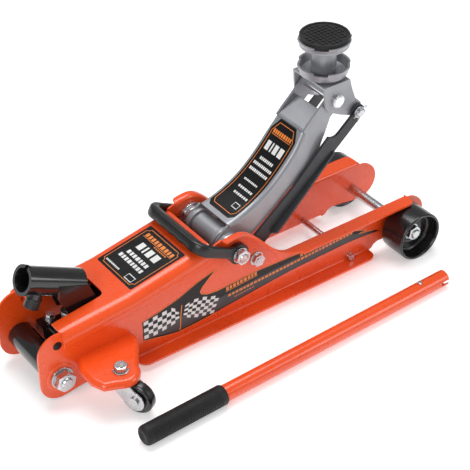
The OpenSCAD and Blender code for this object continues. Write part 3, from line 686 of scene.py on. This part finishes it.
for side, label, angle in ((-1, "right", -64), (1, "left", 152)):
    piece(f"caster_wheel_{label}_turned", *caster_wheel(side, angle), WHEEL, f"roll_{label}",
          "black_plastic", [f"caster_wheel_{label}"])

# ---- nuts, bolts and pins ----

def bolted_end(x, z, y, across, height, hole, disc_r, disc_height):
    """A washer and a nut on both sides of the jack, standing on the plane at y."""
    return both_sides(lambda side: merge(
        washer(disc_r, hole, disc_height, outward(x, y, z, side)),
        hexagon(across, height, hole, outward(x, y + disc_height, z, side, (0.3, 0, 1)))))


def screw_ends(x, z, y, radius, end):
    return both_sides(lambda side: thread(radius, end - y, outward(x, y, z, side)))


piece("rear_nuts_chamfered", *bolted_end(REAR_X, REAR_Z, 53.5, 24, 11, 8, 15, 2.5), ZINC, "chassis",
      "zinc", ["rear_nuts"])
piece("rear_bolt_ends", *merge(screw_ends(REAR_X, REAR_Z, 66.5, 7.95, 70),
                               turned([(8, -66.8), (8, 66.8)], crosswise(REAR_X, REAR_Z), 48)),
      ZINC, "chassis", "zinc", ["rear_bolt"])
piece("front_axle_nuts_chamfered", *bolted_end(AXLE_X, AXLE_Z, 79.3, 19.6, 6.6, 7, 12, 1.7), ZINC,
      "chassis", "zinc", ["front_axle_nuts"])
piece("main_shaft_nuts_chamfered", *bolted_end(0, PIVOT_Z, 62.6, 18.8, 6.8, 6, 11, 1.4), ZINC,
      "chassis", "zinc", ["main_shaft_nuts"])


def caster_nut(side):
    base = V(CASTER_X, side * CASTER_Y, BRACKET_Z + 3)
    top = base + Vector((0, 0, 1.6 * MM))
    return merge(washer(10, 6, 1.6, frame_of(base, (0, 0, 1))),
                 hexagon(15.6, 6.8, 5.9, frame_of(top, (0, 0, 1), (0.8, 0.5, 0))))


piece("caster_nuts_chamfered", *both_sides(caster_nut), ZINC, "chassis", "zinc", ["caster_nuts"])

# ---- printed films ----

# Heights over the metal: the black film, the grey band on it, thin print and thick print.
FILM, GREY_TOP, PRINT_1, PRINT_2 = 0.3, 0.33, 0.36, 0.42
# Widths of the letters in a row of print, and of the gap between two.
LETTER_GAP = 0.42
WORDS = [1.1, 0.9, 1.0, 1.2, 0.8, 1.0, 1.1]
TITLE = [1.0, 0.9, 1.0, 0.9, 1.0, 1.2, 1.0, 0.8, 0.9]
FIGURE = [1.0, 0.35, 1.0, 1.1]


def ribbon(path, width, place, low=FILM, high=PRINT_2):
    """A flat printed line along a path of (u, v) points."""
    n = len(path)
    closed = (Vector(path[0]) - Vector(path[-1])).length < 1e-6
    verts = []
    for i, point in enumerate(path):
        before = path[i - 1] if i else (path[-2] if closed else path[0])
        after = path[i + 1] if i < n - 1 else (path[1] if closed else path[-1])
        along = Vector(after) - Vector(before)
        across = Vector((-along.y, along.x)).normalized() * width / 2
        for sign, h in ((-1, low), (1, low), (1, high), (-1, high)):
            verts.append(place(point[0] + sign * across.x, point[1] + sign * across.y, h))
    return verts, ring_faces(n, 4, caps=not closed)


def dense(path, gap=3.0):
    """The path with points added so that none are further apart than the gap."""
    out = [tuple(path[0])]
    for a, b in zip(path, path[1:]):
        n = max(1, int(math.dist(a, b) / gap))
        out += [(lerp(a[0], b[0], i / n), lerp(a[1], b[1], i / n)) for i in range(1, n + 1)]
    return out


def strip(top, bottom, low, high, place):
    """A film between two edges that run side by side, both as (u, v) points."""
    gap = 3.0
    count = max(2, int(max(math.dist(top[0], top[-1]), math.dist(bottom[0], bottom[-1])) / gap))
    verts = []
    for i in range(count + 1):
        p, q = along_path(top, i / count), along_path(bottom, i / count)
        verts += [place(*p, low), place(*q, low), place(*q, high), place(*p, high)]
    return verts, ring_faces(count + 1, 4)


def along_path(path, t):
    """The point at a fraction of the path's length."""
    lengths = [math.dist(a, b) for a, b in zip(path, path[1:])]
    left = t * sum(lengths)
    for a, b, length in zip(path, path[1:], lengths):
        if left <= length or b is path[-1]:
            f = min(left / length, 1) if length else 0
            return (lerp(a[0], b[0], f), lerp(a[1], b[1], f))
        left -= length


def blocks(start, end, height, widths, place):
    """A row of small blocks that stands in for a line of print, from start to end."""
    a, b = Vector(start), Vector(end)
    along = (b - a).normalized()
    up = Vector((-along.y, along.x)) * height
    scale = (b - a).length / (sum(widths) + LETTER_GAP * (len(widths) - 1))
    parts, at = [], 0.0
    for w in widths:
        p, q = a + along * at * scale, a + along * (at + w) * scale
        corners = [tuple(p), tuple(q), tuple(q + up), tuple(p + up)]
        parts.append(slab(corners, FILM, PRINT_2, place))
        at += w + LETTER_GAP
    return merge(*parts)


def chequers(top, bottom, columns, rows, place, keep):
    """White squares of a chequered flag between its top and bottom edges."""
    parts = []
    for i in range(columns):
        for j in range(rows):
            if (i + j) % 2 or not keep(i, j):
                continue
            corners = []
            for du, dv in ((0, 0), (1, 0), (1, 1), (0, 1)):
                a, b = along_path(top, (i + du) / columns), along_path(bottom, (i + du) / columns)
                t = (j + dv) / rows
                corners.append((lerp(a[0], b[0], t), lerp(a[1], b[1], t)))
            parts.append(slab(corners, GREY_TOP, PRINT_2, place))
    return merge(*parts)


FLAG_1 = ([(-142, 62), (-124.5, 64), (-99.3, 65.6), (-89, 57)],
          [(-142, 35), (-126, 33.5), (-99.2, 37), (-88.5, 40)])
FLAG_2 = ([(-79, 59.5), (-66, 62.5), (-53.3, 61), (-37.9, 54.3), (-25, 51)],
          [(-83, 42.1), (-74, 36.9), (-60, 31), (-48.9, 28.6), (-35.5, 26.2)])
GREY_BAND = ([(-142, 47), (-88, 44), (-20, 46), (60, 51.5), (140, 54.5), (192, 51), (232, 39.6)],
             [(-141, 35.2), (-90.7, 23.4), (-30, 26.8), (40, 34.2), (140, 40.2), (190, 41), (236, 38)])
DECAL = [(-143.5, 33.2), (-126, 29), (-110, 25), (-90.7, 21.6), (-60, 22.8), (-30.5, 25.2), (-17, 27.1),
         (40, 32.6), (92, 36.9), (140, 38.6), (190, 39.6), (215, 38.4), (247, 35.4), (234, 41), (226, 43),
         (206, 46.4), (222, 46.6), (199.4, 54.8), (186, 56.4), (137, 57.1), (90, 60.5), (34, 62.4),
         (-16.8, 60.1), (-29.9, 59.5), (-45, 61.5), (-54, 66), (-55.7, 70.5), (-51.7, 76.7), (-30.7, 95),
         (-60, 87), (-88.9, 75.5), (-118, 68), (-143.5, 63.4)]
DECAL_LOW, DECAL_TOP, DECAL_REAR = DECAL[0:6], DECAL[13:29], DECAL[28:33]
FLAG_EDGE = [(-84.2, 62.4), (-86.5, 45), (-87, 33), (-88.6, 23.4)]

for side, label in SIDES:
    def on_plate(u, v, h):
        return V(u, side * (HALF_WIDTH + h), v)

    piece(f"side_film_{label}", *slab(DECAL, 0, FILM, on_plate), FILM_BLACK, "chassis", "label_film",
          [f"side_decal_{label}"])
    piece(f"side_film_grey_{label}", *strip(*GREY_BAND, FILM, GREY_TOP, on_plate), FILM_GREY, "chassis",
          "label_film")
    piece(f"side_flags_{label}",
          *merge(chequers(*FLAG_1, 8, 5, on_plate, lambda i, j: i + j < 11),
                 chequers(*FLAG_2, 8, 6, on_plate, lambda i, j: True)),
          FILM_WHITE, "chassis", "label_film")
    lines = [ribbon(dense(DECAL_TOP), 1.0, on_plate, high=PRINT_1),
             ribbon(dense(DECAL_REAR), 0.8, on_plate, high=PRINT_1),
             ribbon(dense(DECAL_LOW), 0.7, on_plate, high=PRINT_1),
             ribbon(dense(FLAG_EDGE), 1.3, on_plate, low=GREY_TOP),
             blocks((-15, 52.6), (34, 56), 5.4, TITLE, on_plate),
             ribbon([(-16, 51.2), (35, 54.7)], 0.7, on_plate),
             blocks((-12, 41.4), (196, 51.2), 3.6, WORDS * 5, on_plate),
             blocks((106, 53.4), (147, 53.8), 3.4, WORDS, on_plate),
             blocks((-2, 36.2), (30, 38.4), 1.2, WORDS, on_plate)]
    piece(f"side_lines_{label}", *merge(*lines), FILM_ORANGE, "chassis", "label_film")

COVER_TILT = math.atan((COVER_Z[2] - COVER_Z[1]) / (COVER_FRONT - COVER_BEND))
COVER_LIFT, WEB_LIFT = 0.15, 0.1


def on_cover(u, v, h):
    """On the cover's front slope: u forward from the bend, v to the left."""
    c, s = math.cos(COVER_TILT), math.sin(COVER_TILT)
    h += COVER_LIFT
    return V(COVER_BEND + u * c - h * s, v, COVER_Z[1] + u * s + h * c)


def rounded_box(u0, u1, v0, v1, r):
    corners = ((u1 - r, v1 - r, 0), (u0 + r, v1 - r, 90), (u0 + r, v0 + r, 180), (u1 - r, v0 + r, 270))
    return [on_circle(u, v, r, start + 18 * i) for u, v, start in corners for i in range(6)]


def notched(u0, u1, v0, v1, r):
    """A closed frame with its corners scooped inwards."""
    corners = ((u1, v1, 270), (u0, v1, 0), (u0, v0, 90), (u1, v0, 180))
    out = [on_circle(u, v, r, start - 15 * i) for u, v, start in corners for i in range(7)]
    return out + out[:1]


piece("cover_film", *slab(rounded_box(2, 86, -39, 39, 2.5), 0, FILM, on_cover), FILM_BLACK, "chassis",
      "label_film", ["cover_label"])
piece("cover_print_orange",
      *merge(ribbon(notched(6, 82, -35, 35, 4.5), 0.8, on_cover),
             blocks((70, 29), (70, -30), 6.2, TITLE, on_cover),
             ribbon([(68.6, 30), (68.6, -31)], 0.8, on_cover),
             blocks((65, 2), (65, -24), 1.6, WORDS, on_cover)),
      FILM_ORANGE, "chassis", "label_film")
piece("cover_print_white",
      *merge(blocks((49, 20), (49, -22), 12, FIGURE, on_cover),
             blocks((36, 22), (36, -22), 6, WORDS, on_cover),
             blocks((26, 26), (26, -24), 6, WORDS + [0.9], on_cover),
             blocks((10.5, 31), (10.5, 2), 2.6, WORDS + WORDS[:4], on_cover),
             ribbon([(9, -14), (17, -14), (17, -28), (9, -28), (9, -14)], 1.4, on_cover)),
      FILM_WHITE, "chassis", "label_film")


def on_web(u, v, h):
    """On the arm's curved web: u along the arm, v to the left."""
    slope = math.atan((web_top(u + 0.5) - web_top(u - 0.5)))
    h += WEB_LIFT
    return arm(u - h * math.sin(slope), v, web_top(u) + h * math.cos(slope))


def label_half(s):
    return line(s, [(27, 20), (33, 26), (155, 25), (171, 16)])


label_ss = steps(27, 33, 3) + steps(36, 155, 52) + steps(158, 171, 6)
label_rows = [[on_web(s, label_half(s) * t, FILM / 2) for t in (-1, -0.5, 0, 0.5, 1)] for s in label_ss]
sheet("arm_film", label_rows, FILM, 0.0, FILM_BLACK, "arm", "label_film", ["arm_label"])
arm_frame = [(33, 0), (33, -18), (38, -22.5), (153, -21.4), (166, -14), (166, 0), (166, 14), (153, 21.4),
             (38, 22.5), (33, 18), (33, 0)]
piece("arm_print_orange",
      *merge(ribbon(dense(arm_frame, 2.5), 0.8, on_web),
             blocks((151, 18), (151, -18), 5.6, TITLE, on_web),
             ribbon([(149.4, 18.5), (149.4, -18.5)], 0.8, on_web)),
      FILM_ORANGE, "arm", "label_film")
piece("arm_print_white",
      *merge(blocks((127, 17), (127, -17), 13, FIGURE, on_web),
             blocks((113, 13), (113, -13), 4, WORDS + WORDS[:1], on_web),
             blocks((104, 18), (104, -18), 4, WORDS + WORDS[:4], on_web),
             blocks((95, 18), (95, -18), 4, WORDS + WORDS[:4], on_web),
             blocks((80, 13), (80, -14), 2.6, WORDS + WORDS[:2], on_web),
             blocks((68, 12), (68, -16), 3.2, WORDS, on_web),
             blocks((58, 10), (58, -18), 3.2, WORDS, on_web),
             ribbon([(42, -7), (49, -7), (49, -17), (42, -17), (42, -7)], 1.2, on_web)),
      FILM_WHITE, "arm", "label_film")

# ---- caster brackets ----

BRACKET_R, BRACKET_REAR, BRACKET_FRONT = 24, -247, -157


def bracket_edge(inset):
    """Outer edge of a bracket's plan, drawn in by an inset, from its rear end to its front end."""
    rear = [(-238, -WEB_Y), (BRACKET_REAR, -70), (BRACKET_REAR, -98), (-240, -115)]
    outer = [on_circle(CASTER_X, -CASTER_Y, BRACKET_R, a) for a in range(235, 361, 8)]
    path = dense(rear + [outer[0]], 6)[:-1] + outer
    path += dense([outer[-1], (BRACKET_FRONT, -64), (BRACKET_FRONT, -WEB_Y)], 6)[1:]
    out = []
    for i, p in enumerate(path):
        a, b = Vector(path[max(i - 1, 0)]), Vector(path[min(i + 1, len(path) - 1)])
        along = (b - a).normalized()
        q = Vector(p) + Vector((-along.y, along.x)) * inset
        out.append((q.x, -WEB_Y if i in (0, len(path) - 1) else q.y))
    return out


RIM_BEND = 5.5
rim = [(PLATE / 2, BRACKET_Z - 6.4), (PLATE / 2, BRACKET_Z - 3)]
for degrees in range(15, 91, 15):
    a = math.radians(degrees)
    rim.append((PLATE / 2 + RIM_BEND - RIM_BEND * math.cos(a), BRACKET_Z - 4 + RIM_BEND * math.sin(a)))

for side, label in SIDES:
    layers = [[V(x, -side * y, z) for x, y in bracket_edge(inset)] for inset, z in rim]
    verts, faces = sheet_faces(layers)
    faces.append(tuple(range(len(verts) - len(layers[0]), len(verts))))
    shell = piece(f"caster_bracket_{label}_pressed", verts, faces, ORANGE, "chassis", "orange_paint",
                  [f"caster_bracket_{label}"], sharp=0)
    thicken(shell, PLATE, 0.7)

# ---- coil springs ----

def coil(start, end, radius, wire, turns, per_turn, end_length=0.0):
    """A wire wound round the line from start to end, in millimetres of the jack."""
    a, b = Vector(start), Vector(end)
    axis = (b - a).normalized()
    x = axis.orthogonal().normalized()
    y = axis.cross(x)
    points = []
    if end_length:
        points += [a - axis * end_length, a - axis * wire * 2]
    n = int(turns * per_turn)
    for i in range(n + 1):
        t = 2 * math.pi * turns * i / n
        points.append(a.lerp(b, i / n) + x * radius * math.cos(t) + y * radius * math.sin(t))
    if end_length:
        points += [b + axis * wire * 2, b + axis * end_length]
    return tube([V(*p) for p in points], wire)


spring_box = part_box("return_springs")
spring_z = ((spring_box[0].z + spring_box[1].z) / 2 - ORIGIN.z) / MM
for side, label in SIDES:
    spring = piece(f"return_spring_{label}",
                   *coil((-103, side * 38, spring_z), (-7, side * 38, spring_z), 3.8, 0.75, 42, 14, 12),
                   STEEL, None, "zinc", ["return_springs"] if side < 0 else [])
    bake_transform(spring)

# ---- loose handle ----

GRIP_R, TUBE_R, GRIP_LENGTH, HANDLE_LENGTH = 13.3, 11.0, 120.0, 496.5
HANDLE_REAR, HANDLE_Y, HANDLE_YAW = -228.1, -178.1, math.radians(2.03)
GROOVES, GROOVE_PITCH, GROOVE_DEPTH = 34, 3.0, 0.55
HANDLE_SLOPE = math.asin((GRIP_R - TUBE_R) / (HANDLE_LENGTH - GRIP_LENGTH))
handle_axis = Vector((math.cos(HANDLE_SLOPE) * math.cos(HANDLE_YAW),
                      math.cos(HANDLE_SLOPE) * math.sin(HANDLE_YAW), -math.sin(HANDLE_SLOPE)))
handle_start = V(HANDLE_REAR, HANDLE_Y, GRIP_R)
handle_start += Vector((0, 0, 1)) * GRIP_LENGTH * math.tan(HANDLE_SLOPE) * MM
grip_profile = [(AXIS_R, 1.6), (4.0, 1.6), (5.2, 0.9), (7.5, 0.1), (10.4, 0.6), (12.2, 2.0), (13.1, 4.2),
                (GRIP_R, 7)]
for k in range(GROOVES):
    z = 9.0 + k * GROOVE_PITCH
    groove = GRIP_R - GROOVE_DEPTH
    grip_profile += [(GRIP_R, z), (GRIP_R, z + 1.5), (groove, z + 1.8), (groove, z + 2.7)]
grip_profile += [(GRIP_R, 111), (GRIP_R, 118.6), (12.6, GRIP_LENGTH), (11.05, GRIP_LENGTH), (11.05, 116)]
piece("handle_grip_ribbed", *turned(grip_profile, frame_of(handle_start, handle_axis), 64), RUBBER,
      "handle", "rubber", ["handle_grip"])

# ---- shafts with threaded ends ----

piece("front_axle_threaded",
      *merge(bar(7, -80, 80, 0.5, crosswise(AXLE_X, AXLE_Z)), screw_ends(AXLE_X, AXLE_Z, 79.5, 6.95, 90)),
      ZINC, "chassis", "zinc", ["front_axle"])
piece("main_shaft_threaded",
      *merge(bar(11, -52.5, 52.5, 0.6, crosswise(0, PIVOT_Z)),
             bar(5.95, -63.8, 63.8, 0, crosswise(0, PIVOT_Z), 40),
             screw_ends(0, PIVOT_Z, 63, 5.95, 72)),
      ZINC, "chassis", "zinc", ["main_shaft"])
piece("rear_hole_shade",
      *both_sides(lambda side: bar(6, -0.2, 0.12, 0.05, outward(-263.5, HALF_WIDTH, 86, side), 40)),
      FILM_BLACK, "chassis", "label_film")

# ---- link pin and plunger spring ----

LINK_TIP = (LINK_X + ARM_LENGTH * math.cos(ARM_ANGLE), LINK_Z + ARM_LENGTH * math.sin(ARM_ANGLE))


def clip(side):
    """A spring clip bent from wire through the end of the link pin."""
    path = [(-12, 3.2), (9, 3.2), (11.5, 1.6), (11.5, -1.6), (9, -3.2), (3, -4.4), (-1, -1.4), (-5, -4.2),
            (-12, -6.5)]
    c, s = math.cos(math.radians(35)), math.sin(math.radians(35))
    return tube([V(LINK_TIP[0] + u * c - v * s, side * 42.2, LINK_TIP[1] + u * s + v * c)
                 for u, v in dense(path, 1.2)], 0.8)


pin_profile = [(AXIS_R, -44), (4.6, -44), (6, -42.6), (6, 42.6), (4.6, 44), (AXIS_R, 44)]
piece("link_pin_clipped",
      *merge(turned(pin_profile, crosswise(*LINK_TIP), 40),
             both_sides(lambda side: washer(8.4, 6, 1.5, outward(LINK_TIP[0], 39, LINK_TIP[1], side))),
             both_sides(clip)),
      ZINC, "link", "zinc", ["link_pin"])

low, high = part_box("plunger_spring")
plunger_x = ((low.x + high.x) / 2 - ORIGIN.x) / MM
spring_low, spring_high = (low.z - ORIGIN.z) / MM, (high.z - ORIGIN.z) / MM
plunger_coil = piece(
    "plunger_spring_coil",
    *coil((plunger_x, 0, spring_low + 1), (plunger_x, 0, spring_high - 1), 7.8, 1.0, 5.5, 24),
    STEEL, None, "zinc", ["plunger_spring"])
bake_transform(plunger_coil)

# ---- CAD nodes that keep their shape ----

CAD_LOOKS = [
    (ORANGE, 1.2, "cross_member"),
    (ORANGE, 0.5, "handle_tube"),
    (SILVER, 0.8, "pivot_tube arm_ramp arm_levers saddle_carrier lower_saddle pad_holder"),
    (DARK_GREY, 0.8, "tie_link_right tie_link_left"),
    (BLACK, 1.2, "rear_cross_tube pump_block hydraulic_cylinder reservoir cylinder_gland handle_socket"),
    (DARK_GREY, 0.2, "saddle_circlip"),
    (ZINC, 0.5, "front_cross_rod pivot_washers link_bolts block_screws"),
    (ZINC, 0.4, "socket_pin lever_pin pump_plunger release_valve caster_right caster_left handle_stud"),
    (CHROME, 0.5, "carrier_bolt ram"),
    (STEEL, 0.5, "lever_roller"),
    (PLASTIC, 0.8, "front_spacers clamp_knob"),
    (RUBBER, 0.4, "rubber_pad"),
]

for material, edge, names in CAD_LOOKS:
    for name in names.split():
        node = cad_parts[name]
        node.data.materials.clear()
        node.data.materials.append(material)
        weld = node.modifiers.new("weld", "WELD")
        weld.merge_threshold = MERGE
        flat = node.modifiers.new("flat", "DECIMATE")
        flat.decimate_type = "DISSOLVE"
        flat.angle_limit = math.radians(1.5)
        round_edges(node, edge, 40)

# ---- carry handle ----

# The arms point along CARRY_AXIS, in x and z, and the grip is CARRY_REACH out from the pivot.
CARRY_AXIS = Vector((-57, 29)).normalized()
CARRY_REACH = math.hypot(57, 29)
CARRY_Y, CORNER = 58.7, 15.0
AROUND, ROUNDNESS = 28, 0.55  # points round a section, and the power that makes it squarish


def handle_section(along, y, turn, thick, tall, drop):
    """A rounded section of the carry handle. turn is the path's heading in its own plane."""
    ring = []
    for i in range(AROUND):
        a = 2 * math.pi * i / AROUND
        c, s = math.cos(a), math.sin(a)
        side_step = thick * math.copysign(abs(c) ** ROUNDNESS, c)
        rise = tall * math.copysign(abs(s) ** ROUNDNESS, s) + (drop if s < 0 else 0)
        u = along - side_step * math.sin(turn)
        v = y + side_step * math.cos(turn)
        ring.append(V(u * CARRY_AXIS.x + rise * CARRY_AXIS.y, v,
                      PIVOT_Z + u * CARRY_AXIS.y - rise * CARRY_AXIS.x))
    return ring


def finger_wave(y):
    """How far the grip's underside bulges between two fingers."""
    return 1.3 * (0.5 - 0.5 * math.cos(2 * math.pi * (y + 41) / 20.5))


half_path = [(u, -CARRY_Y, 0.0, lerp(3.5, 4.4, u / 48), lerp(11.5, 7.6, smooth(u / 18)), 0.0)
             for u in steps(0, 46, 18)]
for a in steps(0, 90, 8)[1:]:
    t = math.radians(a)
    half_path.append((CARRY_REACH - CORNER + CORNER * math.sin(t), -CARRY_Y + CORNER - CORNER * math.cos(t),
                      t, lerp(4.6, 7.6, a / 90), 8.0, 0.0))
half_path += [(CARRY_REACH, y, math.pi / 2, 7.8, 7.8, finger_wave(y)) for y in steps(-41, 0, 30)]
mirrored = [(u, -y, math.pi - turn, *rest) for u, y, turn, *rest in reversed(half_path[:-1])]
sections = [handle_section(*station) for station in half_path + mirrored]
loop = [point for section in sections for point in section], ring_faces(len(sections), AROUND)
boss_profile = [(6.1, 0), (14, 0), (14.3, 1), (14.3, 8), (13.2, 9.1), (6.1, 9.1), (6.1, 0)]
bosses = both_sides(lambda side: turned(boss_profile, outward(0, 53, PIVOT_Z, side), 64))
piece("carry_handle_moulded", *merge(loop, bosses), PLASTIC, "carry", "black_plastic", ["carry_handle"])

# ---- camera, light and floor ----

EYE, TARGET, ROLL = V(-861.7, -1245.5, 1223.6), V(23.1, -19.5, 105.9), math.radians(-0.41)
camera_data = bpy.data.cameras.new("camera")
camera_data.lens = 111.17
camera_data.sensor_width = 36.0
camera_data.clip_start = 0.05
camera = bpy.data.objects.new("camera", camera_data)
bpy.context.scene.collection.objects.link(camera)
back = (EYE - TARGET).normalized()
right = Vector((0, 0, 1)).cross(back).normalized()
up = back.cross(right)
right, up = right * math.cos(ROLL) + up * math.sin(ROLL), up * math.cos(ROLL) - right * math.sin(ROLL)
camera.matrix_world = Matrix.Translation(EYE) @ Matrix((right, up, back)).transposed().to_4x4()
bpy.context.scene.camera = camera


def softbox(name, place, size, power):
    data = bpy.data.lights.new(name, "AREA")
    data.shape = "RECTANGLE"
    data.size, data.size_y = size
    data.energy = power
    light = bpy.data.objects.new(name, data)
    bpy.context.scene.collection.objects.link(light)
    away = (place - MIDDLE).normalized()
    x = Vector((0, 0, 1)).cross(away).normalized()
    light.matrix_world = Matrix.Translation(place) @ Matrix((x, away.cross(x), away)).transposed().to_4x4()


MIDDLE = V(0, 0, 120)
GLOW, FLOOR_HALF = 0.32, 25  # strength of the background and the floor's own light; half a side in metres
softbox("overhead", MIDDLE + Vector((0.2, 0.35, 1.7)), (1.5, 1.1), 26)
softbox("left_front", MIDDLE + Vector((-1.7, -0.9, 1.1)), (0.9, 1.2), 17)
softbox("right_front", MIDDLE + Vector((1.4, -1.6, 0.9)), (0.8, 1.0), 9)

world = bpy.data.worlds.new("studio")
world.use_nodes = True
background = world.node_tree.nodes["Background"]
socket(background, "Color", (1, 1, 1, 1))
socket(background, "Strength", GLOW)
bpy.context.scene.world = world

floor_mesh = bpy.data.meshes.new("floor")
floor_mesh.from_pydata([(u * FLOOR_HALF, v * FLOOR_HALF, 0) for u, v in ((-1, -1), (1, -1), (1, 1), (-1, 1))],
                       [], [(0, 1, 2, 3)])
floor = bpy.data.objects.new("floor", floor_mesh)
bpy.context.scene.collection.objects.link(floor)
floor_mesh.materials.append(finish("studio_floor", (0.88, 0.88, 0.88), (0.90, 0.90, 0.90), blotch=2,
                                   rough=(0.5, 0.6), grain=40, strength=0.02, Emission_Color=(1, 1, 1, 1),
                                   Emission_Strength=GLOW))
bpy.context.scene.view_settings.view_transform = "Standard"
